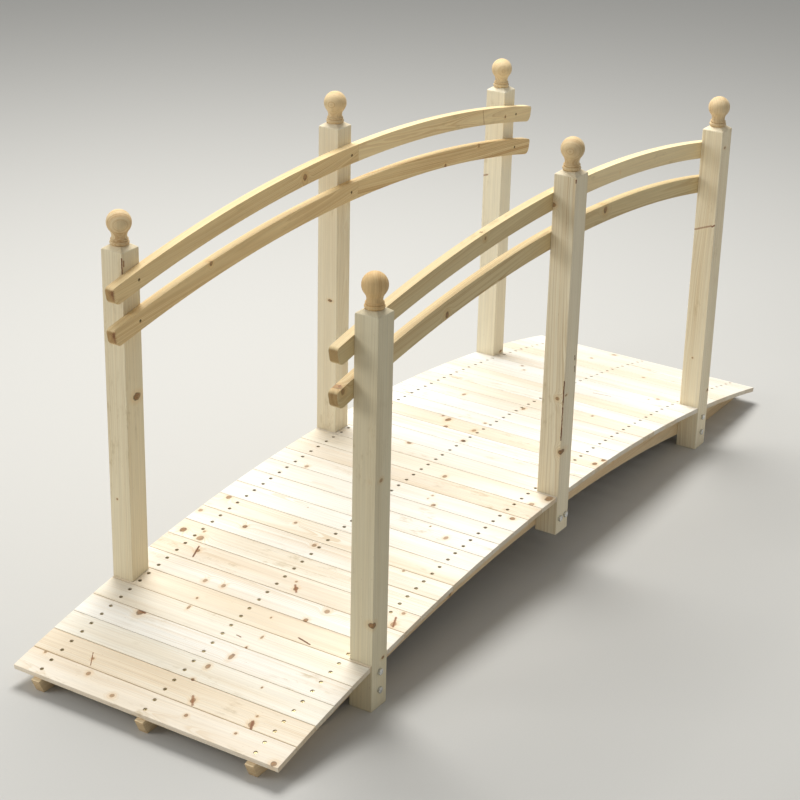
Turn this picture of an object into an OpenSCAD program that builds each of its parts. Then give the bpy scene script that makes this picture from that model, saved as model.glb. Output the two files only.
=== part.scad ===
// Small arched garden bridge in plain softwood: three arched stringers carry a deck of
// narrow boards, and three posts a side carry two arched handrails and turned ball finials.
// Millimetres. X runs along the bridge, +Y is its left side, Z = 0 is the ground.

/* [Arch] */
// Radius of the curve that the boards lie on
arch_r = 4940; // [3600:10:9000]
// Height of a stringer's end above the ground
toe_h = 31; // [20:1:60]
// How far a stringer sticks out past the first board
toe_out = 9; // [0:1:40]
// Lean of a stringer's end cut, back towards its foot, in degrees
toe_lean = 25; // [0:1:35]

/* [Deck] */
// Number of boards, an odd number
board_count = 35; // [29:2:41]
// Distance from one board to the next, along the curve
board_pitch = 65.1; // [50:0.1:80]
// Open joint between two boards
board_gap = 1.5; // [1:0.1:6]
// Thickness of a board
board_t = 12; // [8:0.5:30]
// Length of a board, across the bridge
deck_w = 673; // [500:1:900]
// Boards from one row of posts to the next
boards_per_bay = 12; // [8:1:13]
// Clear space between a board's notch and a post
notch_gap = 0.6; // [0.3:0.1:3]

/* [Stringers] */
// Thickness of a stringer
stringer_t = 21; // [15:1:45]
// Depth of a stringer, measured towards the curve's centre
stringer_depth = 76; // [50:1:120]

/* [Posts] */
// Side of the square posts
post_w = 55; // [40:1:62]
// How far the posts stand proud of the boards' ends
post_proud = 1.3; // [0:0.1:10]
// How far a middle post reaches below the stringer
mid_post_drop = 11; // [0:1:60]
// Height of a middle post's shoulder above the upper rail
mid_post_rise = 43; // [20:1:120]
// Height of an end post's shoulder above the upper rail
end_post_rise = 39; // [20:1:120]
// Rise of the bevelled top of a post
bevel_rise = 8; // [0.5:0.5:16]
// Side of the flat left in the middle of a post's top
bevel_flat = 32; // [24:1:38]
// Width of the eased long edges
post_ease = 1.2; // [0.4:0.1:4]

/* [Rails] */
// Radius of the upper edge of a rail
rail_r = 4080; // [3200:10:9000]
// Height of the upper rail's top above the deck, in the middle of the bridge
rail_above_deck = 723; // [500:1:1000]
// Distance from the upper rail down to the lower one
rail_spacing = 90; // [60:1:300]
// Depth of a rail
rail_depth = 41; // [25:1:60]
// Thickness of a rail
rail_t = 21; // [14:1:45]
// How far a rail sticks out past the end post
rail_out = 58; // [10:1:150]
// Radius of a rail end's upper corner
rail_top_corner = 5; // [1:0.5:8]
// Radius of a rail end's lower corner
rail_low_corner = 14; // [2:0.5:16]
// Clear space between the two halves of a lap joint
lap_gap = 0.2; // [0.1:0.1:1]

/* [Finials] */
// Diameter of the ball
ball_d = 52.8; // [44:0.2:62]
// Height of the ball's centre above the post
ball_z = 47; // [42:0.5:60]
// Diameter of the neck under the ball
neck_d = 32.2; // [24:0.2:34]
// Height of the neck's narrowest place
neck_z = 17.5; // [14:0.5:18]
// Diameter of the round base ring
ring_d = 41.8; // [36:0.2:50]
// Height of the base ring
ring_h = 10; // [6:0.5:11]
// Diameter of the rim above the ring
rim_d = 36.8; // [35:0.2:48]
// Height of the groove between ring and rim, and of the rim
groove_h = 1; // [0.5:0.1:2]
// Depth of the groove, behind the rim
groove_in = 1.2; // [0.5:0.1:4]
// Diameter of the dowel under the finial
dowel_d = 12; // [8:0.5:16]
// Length of the dowel
dowel_l = 25; // [10:1:40]
// Clear space around and below the dowel
dowel_gap = 0.2; // [0.1:0.1:1]

/* [Bolts] */
// Diameter of the bolts
bolt_d = 8; // [5:0.5:12]
// Clear space around a bolt
bolt_gap = 0.3; // [0.1:0.1:1]
// Width of a bolt's head and nut, across the flats
bolt_flats = 13; // [12.5:0.5:17]
// Height of a bolt's head and nut
bolt_head_h = 5.3; // [3:0.1:9]
// How far a bolt's end shows past its nut
bolt_end = 3; // [1:0.5:10]
// Distance between the two bolts of an end post, one above the other
end_bolt_spacing = 43; // [20:1:50]
// Distance between the two bolts of a middle post, side by side
mid_bolt_spacing = 26; // [20:1:34]
// How far a middle post's bolts lie below the middle of the stringer
mid_bolt_drop = 10; // [0:1:20]

/* [Hidden] */
$fn = 96;
arc_fn = 720;

near = -1;
mid = 0;
far = 1;
left = 1;
right = -1;

// The curve: boards turn by one step each about a centre far below the ground
board_step = board_pitch / arch_r * 180 / PI;
board_w = board_pitch - board_gap;
half_boards = (board_count - 1) / 2;
tip_angle = (half_boards + 0.5) * board_step;
toe_x = arch_r * sin(tip_angle) + toe_out;
crown_z = toe_h + arch_r - sqrt(arch_r * arch_r - toe_x * toe_x);
arch_z = crown_z - arch_r;
deck_top = crown_z + board_t;

// Posts and what lies against them, measured from the middle of the bridge
post_angle = boards_per_bay * board_step;
post_x = (arch_r + board_t / 2) * sin(post_angle);
post_out = deck_w / 2 + post_proud;
post_y = post_out - post_w / 2;
post_in = post_out - post_w;
stringer_y = post_in - stringer_t / 2;

// Rails: circle centre, height at the end posts, and the angle of their cut ends
rail_top = deck_top + rail_above_deck;
rail_z = rail_top - rail_r;
rail_end_angle = asin((post_x + post_w / 2 + rail_out) / rail_r);
rail_drop_at_post = rail_r - sqrt(rail_r * rail_r - post_x * post_x);

mid_post_top = rail_top + mid_post_rise;
end_post_top = rail_top - rail_drop_at_post + end_post_rise;
mid_post_foot = crown_z - stringer_depth - mid_post_drop;

// Middle of the stringer's depth where a post stands
function stringer_mid_z(x) =
    arch_z + (sqrt(arch_r * arch_r - x * x)
        + sqrt(pow(arch_r - stringer_depth, 2) - x * x)) / 2;

function post_foot(row) = row == mid ? mid_post_foot : 0;
function post_top(row) = row == mid ? mid_post_top : end_post_top;

// Bolt places of a row of posts, as [x, z]
function bolt_places(row) = row == mid
    ? [for (s = [-1, 1]) [s * mid_bolt_spacing / 2, stringer_mid_z(0) - mid_bolt_drop]]
    : [for (s = [-1, 1]) [row * post_x, stringer_mid_z(post_x) + s * end_bolt_spacing / 2]];

// A long flat shape standing in the XZ plane, extruded across the bridge about y
module across(y, t) {
    translate([0, y + t / 2, 0])
        rotate([90, 0, 0])
            linear_extrude(t)
                children();
}

// Ring between two radii, about a centre at height z
module ring_band(z, r_out, depth) {
    translate([0, z])
        difference() {
            circle(r = r_out, $fn = arc_fn);
            circle(r = r_out - depth, $fn = arc_fn);
        }
}

// Round holes through a post or a stringer for the bolts of a row
module bolt_holes(row, side) {
    for (p = bolt_places(row))
        translate([p[0], side * (post_in + post_w / 2), p[1]])
            rotate([90, 0, 0])
                cylinder(d = bolt_d + 2 * bolt_gap, h = 2 * (post_w + stringer_t), center = true);
}

// Arched stringer, flat where it lies on the ground, with both ends cut at a lean
module stringer_blank(y) {
    foot_x = toe_x - toe_h * tan(toe_lean);
    across(y, stringer_t)
        intersection() {
            ring_band(arch_z, arch_r, stringer_depth);
            polygon([[-foot_x, 0], [foot_x, 0], [toe_x, toe_h], [toe_x, deck_top],
                [-toe_x, deck_top], [-toe_x, toe_h]]);
        }
}

module stringer(side) {
    color("burlywood")
        difference() {
            stringer_blank(side * stringer_y);
            if (side != 0)
                for (row = [near, mid, far])
                    bolt_holes(row, side);
        }
}

// Foot prints that the boards are notched round
module post_shafts(clear) {
    for (row = [near, mid, far], side = [left, right])
        translate([row * post_x - post_w / 2 - clear,
                   side > 0 ? post_in - clear : -post_out - clear, 0])
            cube([post_w + 2 * clear, post_w + 2 * clear, rail_top]);
}

module board(i) {
    translate([0, 0, arch_z])
        rotate([0, i * board_step, 0])
            translate([-board_w / 2, -deck_w / 2, arch_r])
                cube([board_w, deck_w, board_t]);
}

// Boards from number a to number b, counted from the middle board
module boards(a, b) {
    color("wheat")
        difference() {
            for (i = [a : b])
                board(i);
            post_shafts(notch_gap);
        }
}

// Square with its four corners cut off by a small width
module eased_square(half, cut) {
    polygon([[half, half - cut], [half - cut, half], [cut - half, half], [-half, half - cut],
        [-half, cut - half], [cut - half, -half], [half - cut, -half], [half, cut - half]]);
}

// Square post with eased edges and a bevelled top, in its own frame
module post_blank(foot, top) {
    half = post_w / 2;
    run = (post_w - bevel_flat) / 2;
    side_view = [[-half, foot], [half, foot], [half, top], [half - run, top + bevel_rise],
        [run - half, top + bevel_rise], [-half, top]];
    intersection() {
        across(0, post_w)
            polygon(side_view);
        rotate([0, 0, 90])
            across(0, post_w)
                polygon(side_view);
        translate([0, 0, foot])
            linear_extrude(top + bevel_rise - foot)
                eased_square(half, post_ease);
    }
}

module post(row, side) {
    color("tan")
        difference() {
            translate([row * post_x, side * post_y, 0])
                post_blank(post_foot(row), post_top(row));
            bolt_holes(row, side);
            translate([row * post_x, side * post_y,
                       post_top(row) + bevel_rise - dowel_l - dowel_gap])
                cylinder(d = dowel_d + 2 * dowel_gap, h = dowel_l + 2 * bevel_rise);
        }
}

// Half outline of a finial: ring, groove, rim, hollow neck and ball, from the bottom up
module finial_outline() {
    ball_r = ball_d / 2;
    neck_r = neck_d / 2;
    rim_r = rim_d / 2;
    ring_r = ring_d / 2;
    rim_z = ring_h + groove_h;
    rim_top = rim_z + groove_h;
    // The upper hollow touches the ball, the lower one ends on the rim
    rise = ball_z - neck_z;
    hollow_r = (rise * rise - ball_r * ball_r + neck_r * neck_r) / (2 * (ball_r - neck_r));
    hollow_x = neck_r + hollow_r;
    reach = ball_r / (ball_r + hollow_r);
    touch_x = hollow_x * reach;
    touch_z = ball_z - rise * reach;
    drop = neck_z - rim_top;
    flare = rim_r - neck_r;
    cove_r = (drop * drop + flare * flare) / (2 * flare);
    intersection() {
        translate([0, -1])
            square([ball_d, ball_z + ball_d]);
        union() {
            translate([0, ball_z])
                circle(r = ball_r);
            difference() {
                translate([0, neck_z])
                    square([touch_x, touch_z - neck_z]);
                translate([hollow_x, neck_z])
                    circle(r = hollow_r);
            }
            difference() {
                translate([0, rim_top])
                    square([rim_r, drop]);
                translate([neck_r + cove_r, neck_z])
                    circle(r = cove_r);
            }
            translate([0, rim_z])
                square([rim_r, groove_h]);
            translate([0, ring_h / 2])
                square([rim_r - groove_in, ring_h / 2 + groove_h]);
            square([ring_r - ring_h / 2, ring_h]);
            translate([ring_r - ring_h / 2, ring_h / 2])
                circle(r = ring_h / 2);
        }
    }
}

module finial(row, side) {
    color("sandybrown")
        translate([row * post_x, side * post_y, post_top(row) + bevel_rise]) {
            rotate_extrude()
                finial_outline();
            translate([0, 0, -dowel_l])
                cylinder(d = dowel_d, h = dowel_l + ring_h / 2);
        }
}

// Side view of a whole rail, from one cut end to the other, with rounded end corners
module rail_outline(drop) {
    difference() {
        ring_band(rail_z - drop, rail_r, rail_depth);
        for (s = [-1, 1])
            translate([0, rail_z - drop])
                rotate(-s * rail_end_angle)
                    rail_end_waste(s);
    }
}

// What is cut away at one end of a rail, drawn with the end upright on the Y axis
module rail_end_waste(s) {
    low = rail_r - rail_depth;
    mirror([s < 0 ? 1 : 0, 0]) {
        translate([0, low - rail_depth])
            square([rail_r, 3 * rail_depth]);
        translate([0, -rail_r - 1])
            square([rail_r + 1, rail_r + low]);
        translate([-rail_top_corner, rail_r - rail_top_corner])
            corner_waste(rail_top_corner);
        translate([-rail_low_corner, low + rail_low_corner])
            mirror([0, 1])
                corner_waste(rail_low_corner);
    }
}

// Square corner less its round
module corner_waste(r) {
    difference() {
        square([r + 1, r + 1]);
        circle(r = r);
    }
}

// One half of a rail. The near half carries the lap on the walkway side, the far half on the
// post side, and both laps lie across the middle post.
module rail(end, side, drop) {
    lap_half = post_w / 2;
    half_t = rail_t / 2;
    rail_y = post_in - half_t;
    lap_t = half_t - lap_gap / 2;
    // Middle of the lap's thickness: towards the walkway on the near half
    lap_y = end == near ? rail_y - half_t + lap_t / 2 : rail_y + half_t - lap_t / 2;
    color("burlywood") {
        across(side * rail_y, rail_t)
            intersection() {
                rail_outline(drop);
                translate([end == near ? -rail_r : lap_half + lap_gap, 0])
                    square([rail_r - lap_half - lap_gap, 2 * rail_top]);
            }
        across(side * lap_y, lap_t)
            intersection() {
                rail_outline(drop);
                translate([-lap_half - lap_gap * (end == near ? 2 : 0), 0])
                    square([2 * (lap_half + lap_gap), 2 * rail_top]);
            }
    }
}

// Hexagon bolts through a post and its stringer, with their nuts on the walkway side
module bolts(row, side) {
    grip = post_w + stringer_t;
    color("silver")
        for (p = bolt_places(row))
            translate([p[0], side * post_out, p[1]])
                rotate([side * 90, 0, 0]) {
                    translate([0, 0, -bolt_head_h])
                        cylinder(d = bolt_flats / cos(30), h = bolt_head_h, $fn = 6);
                    translate([0, 0, -bolt_head_h / 2])
                        cylinder(d = bolt_d, h = grip + 1.5 * bolt_head_h + bolt_end);
                    translate([0, 0, grip])
                        cylinder(d = bolt_flats / cos(30), h = bolt_head_h, $fn = 6);
                }
}

end_first = boards_per_bay + 1;
bay_split = floor(boards_per_bay / 2);

stringer(left);  // stringer_left
stringer(0);  // stringer_centre
stringer(right);  // stringer_right

boards(-half_boards, -end_first);  // boards_near_end
boards(-boards_per_bay, -boards_per_bay);  // board_near_posts
boards(1 - boards_per_bay, -bay_split);  // boards_near_bay_low
boards(1 - bay_split, -1);  // boards_near_bay_high
boards(0, 0);  // board_mid_posts
boards(1, bay_split - 1);  // boards_far_bay_high
boards(bay_split, boards_per_bay - 1);  // boards_far_bay_low
boards(boards_per_bay, boards_per_bay);  // board_far_posts
boards(end_first, half_boards);  // boards_far_end

post(near, left);  // post_near_left
post(near, right);  // post_near_right
post(mid, left);  // post_mid_left
post(mid, right);  // post_mid_right
post(far, left);  // post_far_left
post(far, right);  // post_far_right

finial(near, left);  // finial_near_left
finial(near, right);  // finial_near_right
finial(mid, left);  // finial_mid_left
finial(mid, right);  // finial_mid_right
finial(far, left);  // finial_far_left
finial(far, right);  // finial_far_right

rail(near, left, 0);  // rail_upper_left_near
rail(far, left, 0);  // rail_upper_left_far
rail(near, right, 0);  // rail_upper_right_near
rail(far, right, 0);  // rail_upper_right_far
rail(near, left, rail_spacing);  // rail_lower_left_near
rail(far, left, rail_spacing);  // rail_lower_left_far
rail(near, right, rail_spacing);  // rail_lower_right_near
rail(far, right, rail_spacing);  // rail_lower_right_far

bolts(near, left);  // bolts_near_left
bolts(near, right);  // bolts_near_right
bolts(mid, left);  // bolts_mid_left
bolts(mid, right);  // bolts_mid_right
bolts(far, left);  // bolts_far_left
bolts(far, right);  // bolts_far_right
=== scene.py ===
"""Looks of a small arched garden bridge in unfinished fir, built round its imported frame.

Lengths are metres in the frame's own axes: X along the bridge, +Y its left side, Z up.
"""

from __future__ import annotations

import logging
import math
import random
from collections.abc import Callable, Iterable, Sequence
from dataclasses import dataclass, replace
from enum import Enum
from functools import partial

import bmesh
import bpy
import numpy as np
from mathutils import Matrix, Vector

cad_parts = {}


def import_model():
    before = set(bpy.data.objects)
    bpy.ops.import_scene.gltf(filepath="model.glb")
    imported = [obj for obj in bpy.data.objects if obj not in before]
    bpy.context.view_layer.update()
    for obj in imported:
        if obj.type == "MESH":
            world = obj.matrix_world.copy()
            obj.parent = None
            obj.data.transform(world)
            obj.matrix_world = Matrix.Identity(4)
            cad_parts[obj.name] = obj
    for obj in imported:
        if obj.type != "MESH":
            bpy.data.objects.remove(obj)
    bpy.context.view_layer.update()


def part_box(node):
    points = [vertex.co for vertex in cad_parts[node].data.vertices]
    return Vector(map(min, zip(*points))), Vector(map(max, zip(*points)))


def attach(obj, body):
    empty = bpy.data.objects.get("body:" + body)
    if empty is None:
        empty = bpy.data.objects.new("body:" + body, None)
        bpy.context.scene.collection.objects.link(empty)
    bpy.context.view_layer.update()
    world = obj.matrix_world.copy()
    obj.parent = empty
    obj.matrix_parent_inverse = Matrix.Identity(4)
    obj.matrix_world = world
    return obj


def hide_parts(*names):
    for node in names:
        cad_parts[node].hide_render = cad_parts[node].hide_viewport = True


LOG = logging.getLogger("garden_bridge")
MM = 0.001
BODY = "root"
KNOTS_PER_PIECE = 6
STREAKS_PER_PIECE = 4
NOWHERE = Vector((9.0, 0.0, 0.0))

Colour = tuple[float, float, float]
Ramp = tuple[float, ...]
Corners = tuple[Vector, Vector]
Outline = Sequence[tuple[float, float]]
Station = tuple[float, float, float, float]
Solid = bmesh.types.BMesh
Piece = bpy.types.Object
Value = "Signal | float | Sequence[float]"


class Row(Enum):
    """A row of posts across the bridge, with its direction from the middle."""

    NEAR = -1
    MID = 0
    FAR = 1


class Side(Enum):
    """A side of the bridge, with its direction from the middle line."""

    LEFT = 1
    RIGHT = -1


class Half(Enum):
    """One half of a rail, with its direction from the middle post."""

    NEAR = -1
    FAR = 1


class Face(Enum):
    """A face of a post, as the direction that it looks in."""

    NEAR = (-1, 0)
    FAR = (1, 0)
    LEFT = (0, 1)
    RIGHT = (0, -1)


class Tone(Enum):
    """How one piece of fir differs in colour from its finish, as a factor on the colour; the olive factor is
    painted shade and painted greenish reflected light.
    """

    WHITE = (1.02, 1.04, 1.07)
    PALE = (1.0, 1.0, 1.0)
    CREAM = (0.99, 0.97, 0.92)
    TAN = (0.95, 0.88, 0.77)
    BLUSH = (0.98, 0.93, 0.86)
    GREY = (0.95, 0.95, 0.92)
    # Darker and greener than the wood: painted shade and painted greenish reflected light, used on the right
    # side's pieces.
    OLIVE = (0.88, 0.88, 0.84)
    AMBER = (0.95, 0.84, 0.66)


def label(*parts: Enum) -> str:
    """Name of a place on the bridge, such as near_left."""
    return "_".join(part.name.lower() for part in parts)


def linear(*channels: int) -> Colour:
    """Scene-linear colour of three channels from 0 to 255."""
    shares = [channel / 255 for channel in channels]
    return tuple(s / 12.92 if s <= 0.04045 else ((s + 0.055) / 1.055) ** 2.4 for s in shares)


def rise(radius: float, x: float) -> float:
    """Height of an arc above its centre, at a distance beside it."""
    return math.sqrt(radius * radius - x * x)


class Signal:
    """An output of a shader node, on which plain arithmetic adds further nodes."""

    def __init__(self, graph: Graph, socket: bpy.types.NodeSocket) -> None:
        """Keeps the output and the graph that it is in."""
        self.graph = graph
        self.socket = socket

    def _with(self, operation: str, other: Value) -> Signal:
        """Adds an operation on this value and another one, on vectors if this one is a vector."""
        adder = self.graph.vector if self.socket.type == "VECTOR" else self.graph.math
        return adder(operation, self, other)

    def __add__(self, other: Value) -> Signal:
        """Sum with another value."""
        return self._with("ADD", other)

    def __sub__(self, other: Value) -> Signal:
        """Difference from another value."""
        return self._with("SUBTRACT", other)

    def __mul__(self, other: Value) -> Signal:
        """Product with another value, part by part for a vector."""
        return self._with("MULTIPLY", other)

    def __truediv__(self, other: Value) -> Signal:
        """Quotient by another value."""
        return self._with("DIVIDE", other)

    def dot(self, other: Value) -> Signal:
        """Dot product with another vector."""
        return self.graph.out("Value", "VectorMath", self, other, operation="DOT_PRODUCT")

    def length(self) -> Signal:
        """Length of this vector."""
        return self.graph.out("Value", "VectorMath", self, operation="LENGTH")


@dataclass(frozen=True)
class Cloud:
    """A noise by its waves for each metre, and the ramp from its low to its high values."""

    stretch: float | Sequence[float]
    low: float
    high: float
    start: float = 0.0
    end: float = 1.0
    detail: float = 2.0
    rough: float = 0.5


@dataclass(frozen=True)
class Sway:
    """A noise about zero by its waves for each metre, and its reach from one side to the other."""

    stretch: float | Sequence[float]
    reach: float
    detail: float = 1.0


class Graph:
    """Short ways to add shader nodes to one tree and to join them."""

    def __init__(self, owner: bpy.types.Material | bpy.types.World) -> None:
        """Empties the node tree of a material or a world.

        Args:
            owner: The material or world.
        """
        owner.use_nodes = True
        self.tree = owner.node_tree
        self.tree.nodes.clear()

    def node(
        self, kind: str, *inputs: Value, named: dict[str | int, Value] | None = None, **settings: object
    ) -> bpy.types.Node:
        """Adds one node.

        Args:
            kind: Blender's name for the node type, without ShaderNode.
            *inputs: Values for the first input sockets, in order.
            named: Values for other input sockets, by name or number.
            **settings: Properties of the node.

        Returns:
            The new node.
        """
        made = self.tree.nodes.new(f"ShaderNode{kind}")
        for name, value in settings.items():
            setattr(made, name, value)
        for key, value in {**dict(enumerate(inputs)), **(named or {})}.items():
            socket = made.inputs[key]
            if isinstance(value, Signal):
                self.tree.links.new(value.socket, socket)
            elif socket.type == "RGBA":
                socket.default_value = (*value, 1.0)
            elif socket.type == "VECTOR" and not isinstance(value, Sequence):
                socket.default_value = (value, value, value)
            else:
                socket.default_value = value
        return made

    def out(self, output: str | int, kind: str, *inputs: Value, **rest: object) -> Signal:
        """Adds one node and returns one of its outputs, by name or number."""
        return Signal(self, self.node(kind, *inputs, **rest).outputs[output])

    def math(self, operation: str, *values: Value, clamp: bool = False) -> Signal:
        """Adds a Math node."""
        return self.out(0, "Math", *values, operation=operation, use_clamp=clamp)

    def vector(self, operation: str, *values: Value) -> Signal:
        """Adds a Vector Math node and returns its vector."""
        return self.out(0, "VectorMath", *values, operation=operation)

    def whole(self, x: Value, y: Value, z: Value) -> Signal:
        """Joins three numbers into a vector."""
        return self.out(0, "CombineXYZ", x, y, z)

    def attribute(self, name: str, output: str = "Vector") -> Signal:
        """Reads one attribute of the mesh."""
        return self.out(output, "Attribute", attribute_name=name)

    def noise(
        self, at: Value, stretch: float | Sequence[float], detail: float = 2.0, rough: float = 0.5
    ) -> Signal:
        """Adds a noise of about 0 to 1, by its waves for each metre and its finer layers."""
        inputs = {"Scale": 1.0, "Detail": detail, "Roughness": rough}
        return self.out(0, "TexNoise", self.vector("MULTIPLY", at, stretch), named=inputs)

    def sway(self, at: Value, sway: Sway) -> Signal:
        """Adds a noise about zero."""
        return (self.noise(at, sway.stretch, sway.detail) - 0.5) * sway.reach

    def ramp(self, value: Value, low: float, high: float, start: float = 0.0, end: float = 1.0) -> Signal:
        """Maps low to high smoothly onto start to end, and stops at both ends."""
        return self.out(0, "MapRange", value, low, high, start, end, interpolation_type="SMOOTHSTEP")

    def cloud(self, at: Value, cloud: Cloud) -> Signal:
        """Adds a cloud's noise with its ramp."""
        noise = self.noise(at, cloud.stretch, cloud.detail, cloud.rough)
        return self.ramp(noise, cloud.low, cloud.high, cloud.start, cloud.end)

    def mix(self, factor: Value, first: Value, second: Value, blend: str = "MIX") -> Signal:
        """Mixes two colours, with the factor as the share of the second."""
        inputs = {0: factor, 6: first, 7: second}
        return self.out(2, "Mix", named=inputs, data_type="RGBA", blend_type=blend, clamp_factor=True)

    def tint(self, colour: Value, by: Value) -> Signal:
        """Multiplies a colour by another one or by a number."""
        return self.mix(1.0, colour, by, "MULTIPLY")

    def surface(
        self, colour: Value, roughness: Value, extra: dict[str, float], height: Value | None = None
    ) -> None:
        """Ends a material in a Principled shader.

        Args:
            colour: Base colour.
            roughness: Roughness.
            extra: Other inputs of the shader.
            height: Height of the surface in metres, for its bumps.
        """
        inputs = {"Base Color": colour, "Roughness": roughness, **extra}
        if height is not None:
            bump = {"Strength": 1.0, "Distance": 1.0, "Height": height}
            inputs["Normal"] = self.out(0, "Bump", named=bump)
        self.node("OutputMaterial", self.out(0, "BsdfPrincipled", named=inputs))


@dataclass(frozen=True)
class FirFinish:
    """Unfinished fir: its colours, and how its rings, stains and surface show."""

    name: str
    slot: str
    early: Colour
    late: Colour
    ring: float = 3.4 * MM
    contrast: float = 0.55
    patches: float = 0.22
    # Factor on the colour of end grain; on the rails it is darker than end grain alone, as painted shade on
    # the cut ends.
    end_grain_and_painted_shade: Colour = (0.8, 0.76, 0.7)
    relief: float = 0.12 * MM
    tool_marks: float = 0.0
    roughness: float = 0.62
    specular: float = 0.35
    stained: float = 0.6
    stain: Colour = linear(186, 164, 116)
    knot_rim: Colour = linear(86, 62, 36)
    knot_heart: Colour = linear(166, 122, 76)
    resin: Colour = linear(184, 120, 70)
    bark: Colour = linear(76, 48, 26)

    def shade(self, graph: Graph) -> None:
        """Fills the graph of the material."""
        FirShader(self, graph).build()


class FirShader:
    """Shader nodes of one fir finish, as parts that share the place in the wood.

    Knots and streaks are measured in their own radii. A ramp is its low and high value and, where
    they aren't 0 and 1, what it gives there.
    """

    crosswise: Ramp = (0.0, 1.0, 1.0)
    seed_step: Ramp = (7.31, 3.17, 5.77)
    knot_waver: Sway = Sway(150, 0.45)
    knot_slender: float = 3.0
    knot_reach: float = 2.3
    knot_swell: float = 1.7
    knot_halo: Ramp = (0.8, 3.0, 0.55, 0.0)
    knot_inside: Ramp = (0.72, 1.12, 1.0, 0.0)
    knot_rim_in: Ramp = (0.62, 0.92)
    knot_rim_out: Ramp = (1.0, 1.22, 1.0, 0.0)
    knot_rings: float = 2.6
    knot_ring: Ramp = (0.3, 0.95, 0.0, 0.35)
    knot_mood: Cloud = Cloud(16, 0.35, 0.65, 0.3, 1.0)
    knot_mottle: Cloud = Cloud(280, 0.45, 0.7, 0.0, 0.85)
    halo_tint: Ramp = (0.93, 0.76, 0.55)
    bow_across: Sway = Sway((0.9, 3, 3), 26 * MM)
    bow_up: Sway = Sway((1.3, 4, 4), 22 * MM)
    shiver: Sway = Sway((7, 60, 60), 1.5 * MM, detail=2.0)
    year_drift: float = 3.0
    year_rise: Ramp = (0.3, 0.9)
    year_fall: Ramp = (0.93, 1.0, 1.0, 0.0)
    ring_strength: Cloud = Cloud((2.2, 28, 28), 0.3, 0.7, 0.35, 1.2)
    patch: Cloud = Cloud((1.7, 13, 13), 0.35, 0.75, detail=3.0)
    stain_flecks: Cloud = Cloud((22, 60, 60), 0.5, 0.7, detail=6.0, rough=0.68)
    stain_areas: Cloud = Cloud((4, 9, 9), 0.52, 0.68)
    bands: Cloud = Cloud((2.6, 210, 210), 0.25, 0.8, 1.035, 0.94)
    fibres: Cloud = Cloud((18, 1300, 1300), 0.2, 0.8, 1.03, 0.96, detail=1.0)
    pecks: Cloud = Cloud((75, 620, 620), 0.76, 0.82, 0.0, 0.5, detail=1.0)
    streak_edge: Ramp = (0.35, 1.15, 1.0, 0.0)
    streak_waver: Sway = Sway((160, 700, 700), 1.2, detail=2.0)
    end_facing: Ramp = (0.7, 0.95)
    knot_depth: Ramp = (0.3, 1.0, 0.7, 0.95)
    rim_share: float = 0.65
    weather_waves: float = 0.31
    bark_share: Ramp = (0.0, 0.7)
    skin_stretch: Ramp = (22, 1500, 1500)
    skin_rough: float = 0.65
    skin_gloss: Ramp = (0.2, 0.8, -0.07, 0.09)
    tool_stretch: Ramp = (1400, 0, 0)
    late_relief: float = 0.35
    rim_relief: float = 1.2

    def __init__(self, finish: FirFinish, graph: Graph) -> None:
        """Reads where a point lies in the wood, from the attributes that Timber writes.

        Args:
            finish: The finish.
            graph: Empty graph of its material.
        """
        self.finish = finish
        self.graph = graph
        self.place = graph.attribute("grain_at")
        split = graph.node("SeparateXYZ", graph.attribute("pith"))
        across, up, seed = (Signal(graph, socket) for socket in split.outputs)
        self.pith = graph.whole(0.0, across, up)
        self.seeded = self.place + graph.vector("MULTIPLY", self.seed_step, seed)

    def build(self) -> None:
        """Joins the parts into the material."""
        graph, finish = self.graph, self.finish
        distance, swell = self.knots()
        late = self.rings(swell)
        colour = graph.tint(self.wood(late), graph.attribute("tone", "Color"))
        colour, rim = self.knotted(distance, colour)
        dark = self.streaks()
        bark = graph.mix(dark, finish.resin, finish.bark)
        colour = graph.mix(graph.ramp(dark, *self.bark_share), colour, bark)
        # End faces get the finish's end-grain factor, which on the rails also paints shade.
        facing = graph.attribute("grain_along").dot(graph.out("Normal", "NewGeometry"))
        end = graph.ramp(graph.math("ABSOLUTE", facing), *self.end_facing)
        colour = graph.mix(end, colour, graph.tint(colour, finish.end_grain_and_painted_shade))
        fibre = graph.noise(self.seeded, self.skin_stretch, rough=self.skin_rough)
        height = (fibre + late * self.late_relief - rim * self.rim_relief) * finish.relief
        if finish.tool_marks:
            height = graph.noise(self.place, self.tool_stretch, detail=1.0) * finish.tool_marks + height
        roughness = graph.ramp(fibre, *self.skin_gloss) + finish.roughness
        graph.surface(colour, roughness, {"Specular IOR Level": finish.specular}, height)

    def knots(self) -> tuple[Signal, Signal]:
        """Measures the knots, each drawn out along its branch, which grows from the pith.

        Returns:
            Distance to the nearest knot in its radii, and how far the knots swell the rings.
        """
        graph = self.graph
        waver = graph.sway(self.place, self.knot_waver)
        distance: Value = 99.0
        swell: Value = 0.0
        for number in range(KNOTS_PER_PIECE):
            centre = graph.attribute(f"knot{number}")
            radius = graph.attribute(f"knot{number}", "Alpha")
            aim = graph.vector("NORMALIZE", (centre - self.pith) * self.crosswise)
            offset = self.place - centre
            offset = offset - aim * (offset.dot(aim) * (1 - 1 / self.knot_slender))
            apart = offset.length() / radius + waver
            near = apart / self.knot_reach
            swell = graph.math("EXPONENT", near * near * -1.0) * radius * self.knot_swell + swell
            distance = graph.math("MINIMUM", apart, distance)
        return distance, swell

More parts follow.
